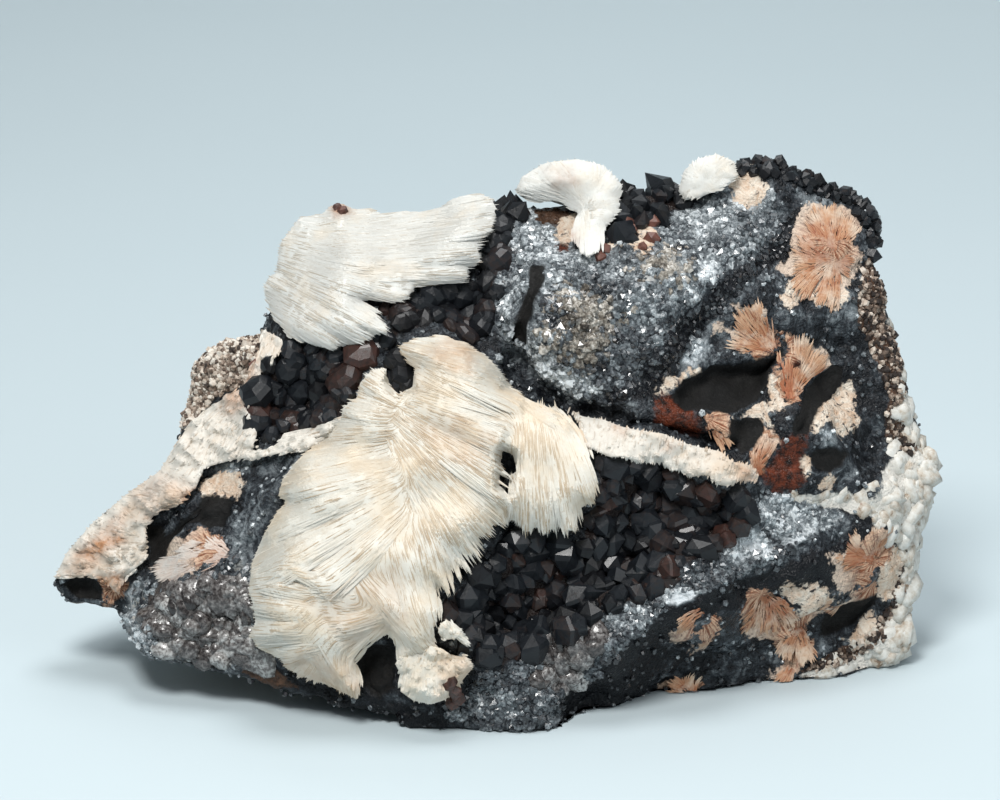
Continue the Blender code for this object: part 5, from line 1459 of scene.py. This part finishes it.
            coats = [undercoat(shape, 4.0, seed + 1), sheaf_blades(shape, seed + 2), fine_lines(shape, 3.4, seed + 5)]
        if shape.overhang > 0.005:
            coats.append(undercoat(shape, 5.0, seed + 4, width=2.0, ridge=0.16, behind=True))
        blades(name + "_undercoat", shape, finish, slot, (label,), seed + 3, coats[0])
        blades(name + "_blades", shape, finish, slot, (label,), seed + 6, *coats[1:])

    # Orange sprays lie on the rock itself
    everywhere = [(0, 0), (1000, 0), (1000, 800), (0, 800)]
    sprays = crest(everywhere, ORANGE_SHEAVES, 0.0004, 0.0, 20, edge=0.4 * MM, stains=SPRAY_STAINS)
    blades("orange_barite_sprays", sprays, orange_barite, "cream_barite", (), 71,
           sheaf_blades(sprays, 72, pitch=0.6, width=0.8, rise=0.02, ridge=0.07, clump=4.0, longest=0.4, stray=8.0))

    pink = crest(everywhere, PINK_SHEAVES, 0.0004, 0.0, 20, edge=0.4 * MM)
    blades("pink_barite_spray", pink, pink_barite, "cream_barite", (), 75,
           sheaf_blades(pink, 76, pitch=0.6, width=0.7, rise=0.02, ridge=0.06, clump=4.0, longest=0.35, stray=10.0))

    normal = normals_of(points, faces)
    on_face = front < -0.02
    swell = rumple(points, 0.014, 91) * 0.55 + rumple(points, 0.005, 92) * 0.45

    def crystals(name, chosen, spacing, sizes, finish, slot, seed, replaced=(), tones=(0, 1), field=None,
                 smooth=False, **shape):
        random = np.random.default_rng(seed)
        index = spread_out(chosen & (points[:, 2] > sizes[0]), points, spacing, random)
        centre = points[index] + random.normal(0, spacing * 0.12, (len(index), 3))
        size = random.uniform(*sizes, len(index)) * random.uniform(0.75, 1.15, len(index))
        made, sides, per = crystal_mesh(centre, normal[index], size, random, **shape)
        tone = random.uniform(*tones, len(index))
        if field is not None:
            tone = tone + field[index]
        piece(name, made, sides, finish, slot, replaced, smooth, tone=np.repeat(tone, per))

    def within(outlines, margin=0.0):
        return on_face & (inside_any(px, py, outlines) > margin)

    bed_tone = dict(tones=(0.1, 0.75), field=0.16 * rumple(points, 0.02, 93))
    crystals("bowl_crystals", within([BOWL_OUTLINE], 2), 0.0043, (0.0024, 0.0046), dark_quartz, "dark_quartz", 81,
             ("bowl_quartz_crystals",), rings=BLOCKY, point=0.9, **bed_tone)
    crystals("pocket_crystals", within([POCKET_OUTLINE, MAIN_CREST_HOLES[0]], 2), 0.0042, (0.0026, 0.0048),
             dark_quartz, "dark_quartz", 82, ("pocket_quartz_crystals",), rings=ROUNDED, point=0.74, sides=7, lean=0.05,
             slant=0.08, **bed_tone)
    clear_of_crest = inside(px, py, TOP_CREST_OUTLINE) < -1
    crystals("top_cluster_crystals", within([TOP_CLUSTER_OUTLINE], 1) & clear_of_crest, 0.0044, (0.0024, 0.0042), dark_quartz,
             "dark_quartz", 83, ("top_quartz_cluster",), rings=SHORT, point=1.3, **bed_tone)
    crystals("dark_peak_crystals", within([[(484, 206), (518, 206), (518, 222), (484, 222)]]), 0.0040,
             (0.0024, 0.0036), dark_quartz, "dark_quartz", 90, tones=(0, 0.6), point=1.6)
    crystals("rim_crystals", within([RIM_STRIP]), 0.0020, (0.0009, 0.0022), dark_quartz, "dark_quartz", 84,
             tones=(0, 0.6))

    def placed(name, at, size_mm, tone, finish, slot, seed, depth, replaced=()):
        random = np.random.default_rng(seed)
        at = np.asarray(at, float)
        centre = place(at[:, 0], at[:, 1], depth(at[:, 0], at[:, 1])) + SHIFT
        facing_view = np.tile([0.0, -1.0, 0.25], (len(at), 1))
        size = random.uniform(*size_mm, len(at)) * MM
        made, sides, per = crystal_mesh(centre, facing_view, size, random, rings=BLOCKY, point=0.9)
        piece(name, made, sides, finish, slot, replaced, tone=np.full(len(made), tone))

    def on_rock(across, down):
        return seat(across, down, depths) - 0.0004

    placed("rusty_crystals", RUSTY_CRYSTALS_PX, (1.4, 2.6), 0.98, rusty_quartz, "dark_quartz", 94, on_rock)
    placed("upper_crest_crystal", [(338, 208), (342, 211)], (1.2, 1.6), 0.8, rusty_quartz, "dark_quartz", 95,
           lambda across, down: upper.depth(across, down) - upper.lift(across, down))
    placed("foot_crystals", [(450, 684), (455, 692), (458, 699), (452, 703)], (1.6, 2.4), 0.6, rusty_quartz,
           "dark_quartz", 96, lambda across, down: foot.depth(across, down) - foot.lift(across, down))
    covered = ORANGE_PATCHES + CRYSTAL_BEDS + SANDY_PATCHES + BROWN_PATCHES + RIND_PATCHES + CREAM_PATCHES
    bare = on_face & (inside_any(px, py, BLACK_VOIDS) < -5) & (inside_any(px, py, covered) < -2)
    bare &= inside_any(px, py, RUST_PATCHES) + 4 * swell < 0
    pale = inside_any(px, py, GREY_QUARTZ_PATCHES) + 8 * swell > 0
    # the druse crystals' tones follow the paleness values, painted shade on the dome's flank and step included
    tone_field = paleness_and_painted_shade + 0.26 * swell
    smoky = within(SMOKY_OUTLINES)
    druse = dict(tones=(-0.17, 0.17), field=tone_field, sides=5, rings=FLAT, point=0.40, tilt=0.5, uneven=0.3)
    scatter = np.random.default_rng(98).normal(0, 9, len(px))
    warm = inside_any(px, py, WARM_QUARTZ[:2]) + 8 * swell + scatter > 0
    crystals("grey_quartz_druse", bare & pale & ~smoky & ~warm, 0.0011, (0.0006, 0.0016), grey_quartz, "rock", 85,
             **druse)
    crystals("warm_quartz_druse", bare & pale & ~smoky & warm, 0.0012, (0.0006, 0.0018), warm_quartz, "rock", 97,
             **druse)
    crystals("black_quartz_druse", bare & ~pale, 0.0042, (0.0004, 0.0010), grey_quartz, "rock", 88,
             tones=(-0.2, 0.5), field=tone_field, sides=5, rings=SHORT, point=0.75, tilt=0.7)
    crystals("smoky_quartz_crystals", smoky, 0.0024, (0.0018, 0.0046), smoky_quartz, "rock", 89, sides=8,
             rings=((0.9, -0.8), (1.0, -0.2), (0.75, 0.06)), point=0.16, tilt=0.3, smooth=True,
             tones=(0.2, 0.75), field=0.3 * swell)
    crystals("host_rock_grains", within(SANDY_PATCHES + BROWN_PATCHES[:2]), 0.0010, (0.0003, 0.0011), host_grains,
             "rock", 86, sides=5, rings=SHORT, point=0.7, uneven=0.35, tilt=0.8, tones=(0.05, 1.05),
             field=-0.45 * soft(BROWN_PATCHES, 10) + 0.12 * swell)
    crystals("white_quartz_rind", within(RIND_PATCHES), 0.0022, (0.0014, 0.0050), white_quartz, "rock", 87, sides=9,
             rings=((0.9, -0.9), (1.0, -0.42), (0.70, -0.18)), point=-0.14, uneven=0.3, tilt=0.20, smooth=True,
             tones=(0.25, 0.9))


# The room

def plain_colour_stage(name, low, high, roughness):
    made, nodes, shader = new_finish(name, Specular_IOR_Level=0.2)
    nodes.link(nodes.mix(nodes.noise(0.4, 2), low, high), shader.inputs["Base Color"])
    shader.inputs["Roughness"].default_value = roughness
    return made


def build_stage():
    """A pale sheet: flat under the specimen, then swept up behind it in a wide quarter circle."""
    across = np.linspace(-2.2, 2.2, 12)
    turn = np.linspace(0, math.pi / 2, 25)
    along = np.concatenate([np.linspace(-2.0, 0.9, 10)[:-1], 0.9 + 0.9 * np.sin(turn), [1.8]])
    height = np.concatenate([np.zeros(9), 0.9 - 0.9 * np.cos(turn), [2.6]])
    x, y = np.meshgrid(across, along)
    z = np.broadcast_to(height[:, None], x.shape)
    points = np.stack([x, y, z], -1).reshape(-1, 3)
    number = np.arange(x.size).reshape(x.shape)
    faces = np.stack([number[:-1, :-1], number[:-1, 1:], number[1:, 1:], number[1:, :-1]], -1).reshape(-1, 4)
    mesh = bpy.data.meshes.new("pale_sheet")
    mesh.from_pydata(points.tolist(), [], faces.tolist())
    mesh.polygons.foreach_set("use_smooth", np.full(len(faces), True))
    mesh.materials.append(plain_colour_stage("pale blue sheet", (0.50, 0.585, 0.62), (0.53, 0.61, 0.645), 0.8))
    sheet = bpy.data.objects.new("pale_sheet", mesh)
    bpy.context.scene.collection.objects.link(sheet)


def look_at(thing, target):
    thing.rotation_euler = (Vector(target) - thing.location).to_track_quat("-Z", "Y").to_euler()


def area_light(name, location, size, power, colour, target=(0, 0, 0.06)):
    light = bpy.data.lights.new(name, "AREA")
    light.shape = "DISK"
    light.size = size
    light.energy = power
    light.color = colour
    made = bpy.data.objects.new(name, light)
    made.location = location
    look_at(made, target)
    bpy.context.scene.collection.objects.link(made)


def build_camera_and_lights():
    camera = bpy.data.cameras.new("front camera")
    camera.sensor_width = 36
    camera.lens = 36 * VIEW_DISTANCE / (1000 * METRES_PER_PX)
    camera.clip_start = 0.05
    made = bpy.data.objects.new("front camera", camera)
    made.location = EYE
    look_at(made, place(*AXIS_PX, 0.0) + SHIFT)
    bpy.context.scene.collection.objects.link(made)
    bpy.context.scene.camera = made
    area_light("key", (-0.22, -0.68, 1.04), 0.4, 13, (1.0, 0.99, 0.97))
    area_light("fill", (0.8, -0.8, 0.6), 0.7, 3, (0.97, 0.99, 1.0))
    area_light("top", (0.1, 0.10, 1.2), 0.6, 6.5, (1.0, 1.0, 1.0))
    area_light("backdrop light", (0.15, 1.0, 1.3), 1.2, 7.5, (1.0, 1.0, 1.0), (0.40, 1.6, 0.15))
    world = bpy.data.worlds.new("soft room")
    world.use_nodes = True
    background = world.node_tree.nodes["Background"]
    background.inputs["Color"].default_value = (0.82, 0.91, 0.95, 1)
    background.inputs["Strength"].default_value = 0.24
    bpy.context.scene.world = world
    bpy.context.scene.view_settings.view_transform = "Standard"


build_specimen()
build_stage()
build_camera_and_lights()
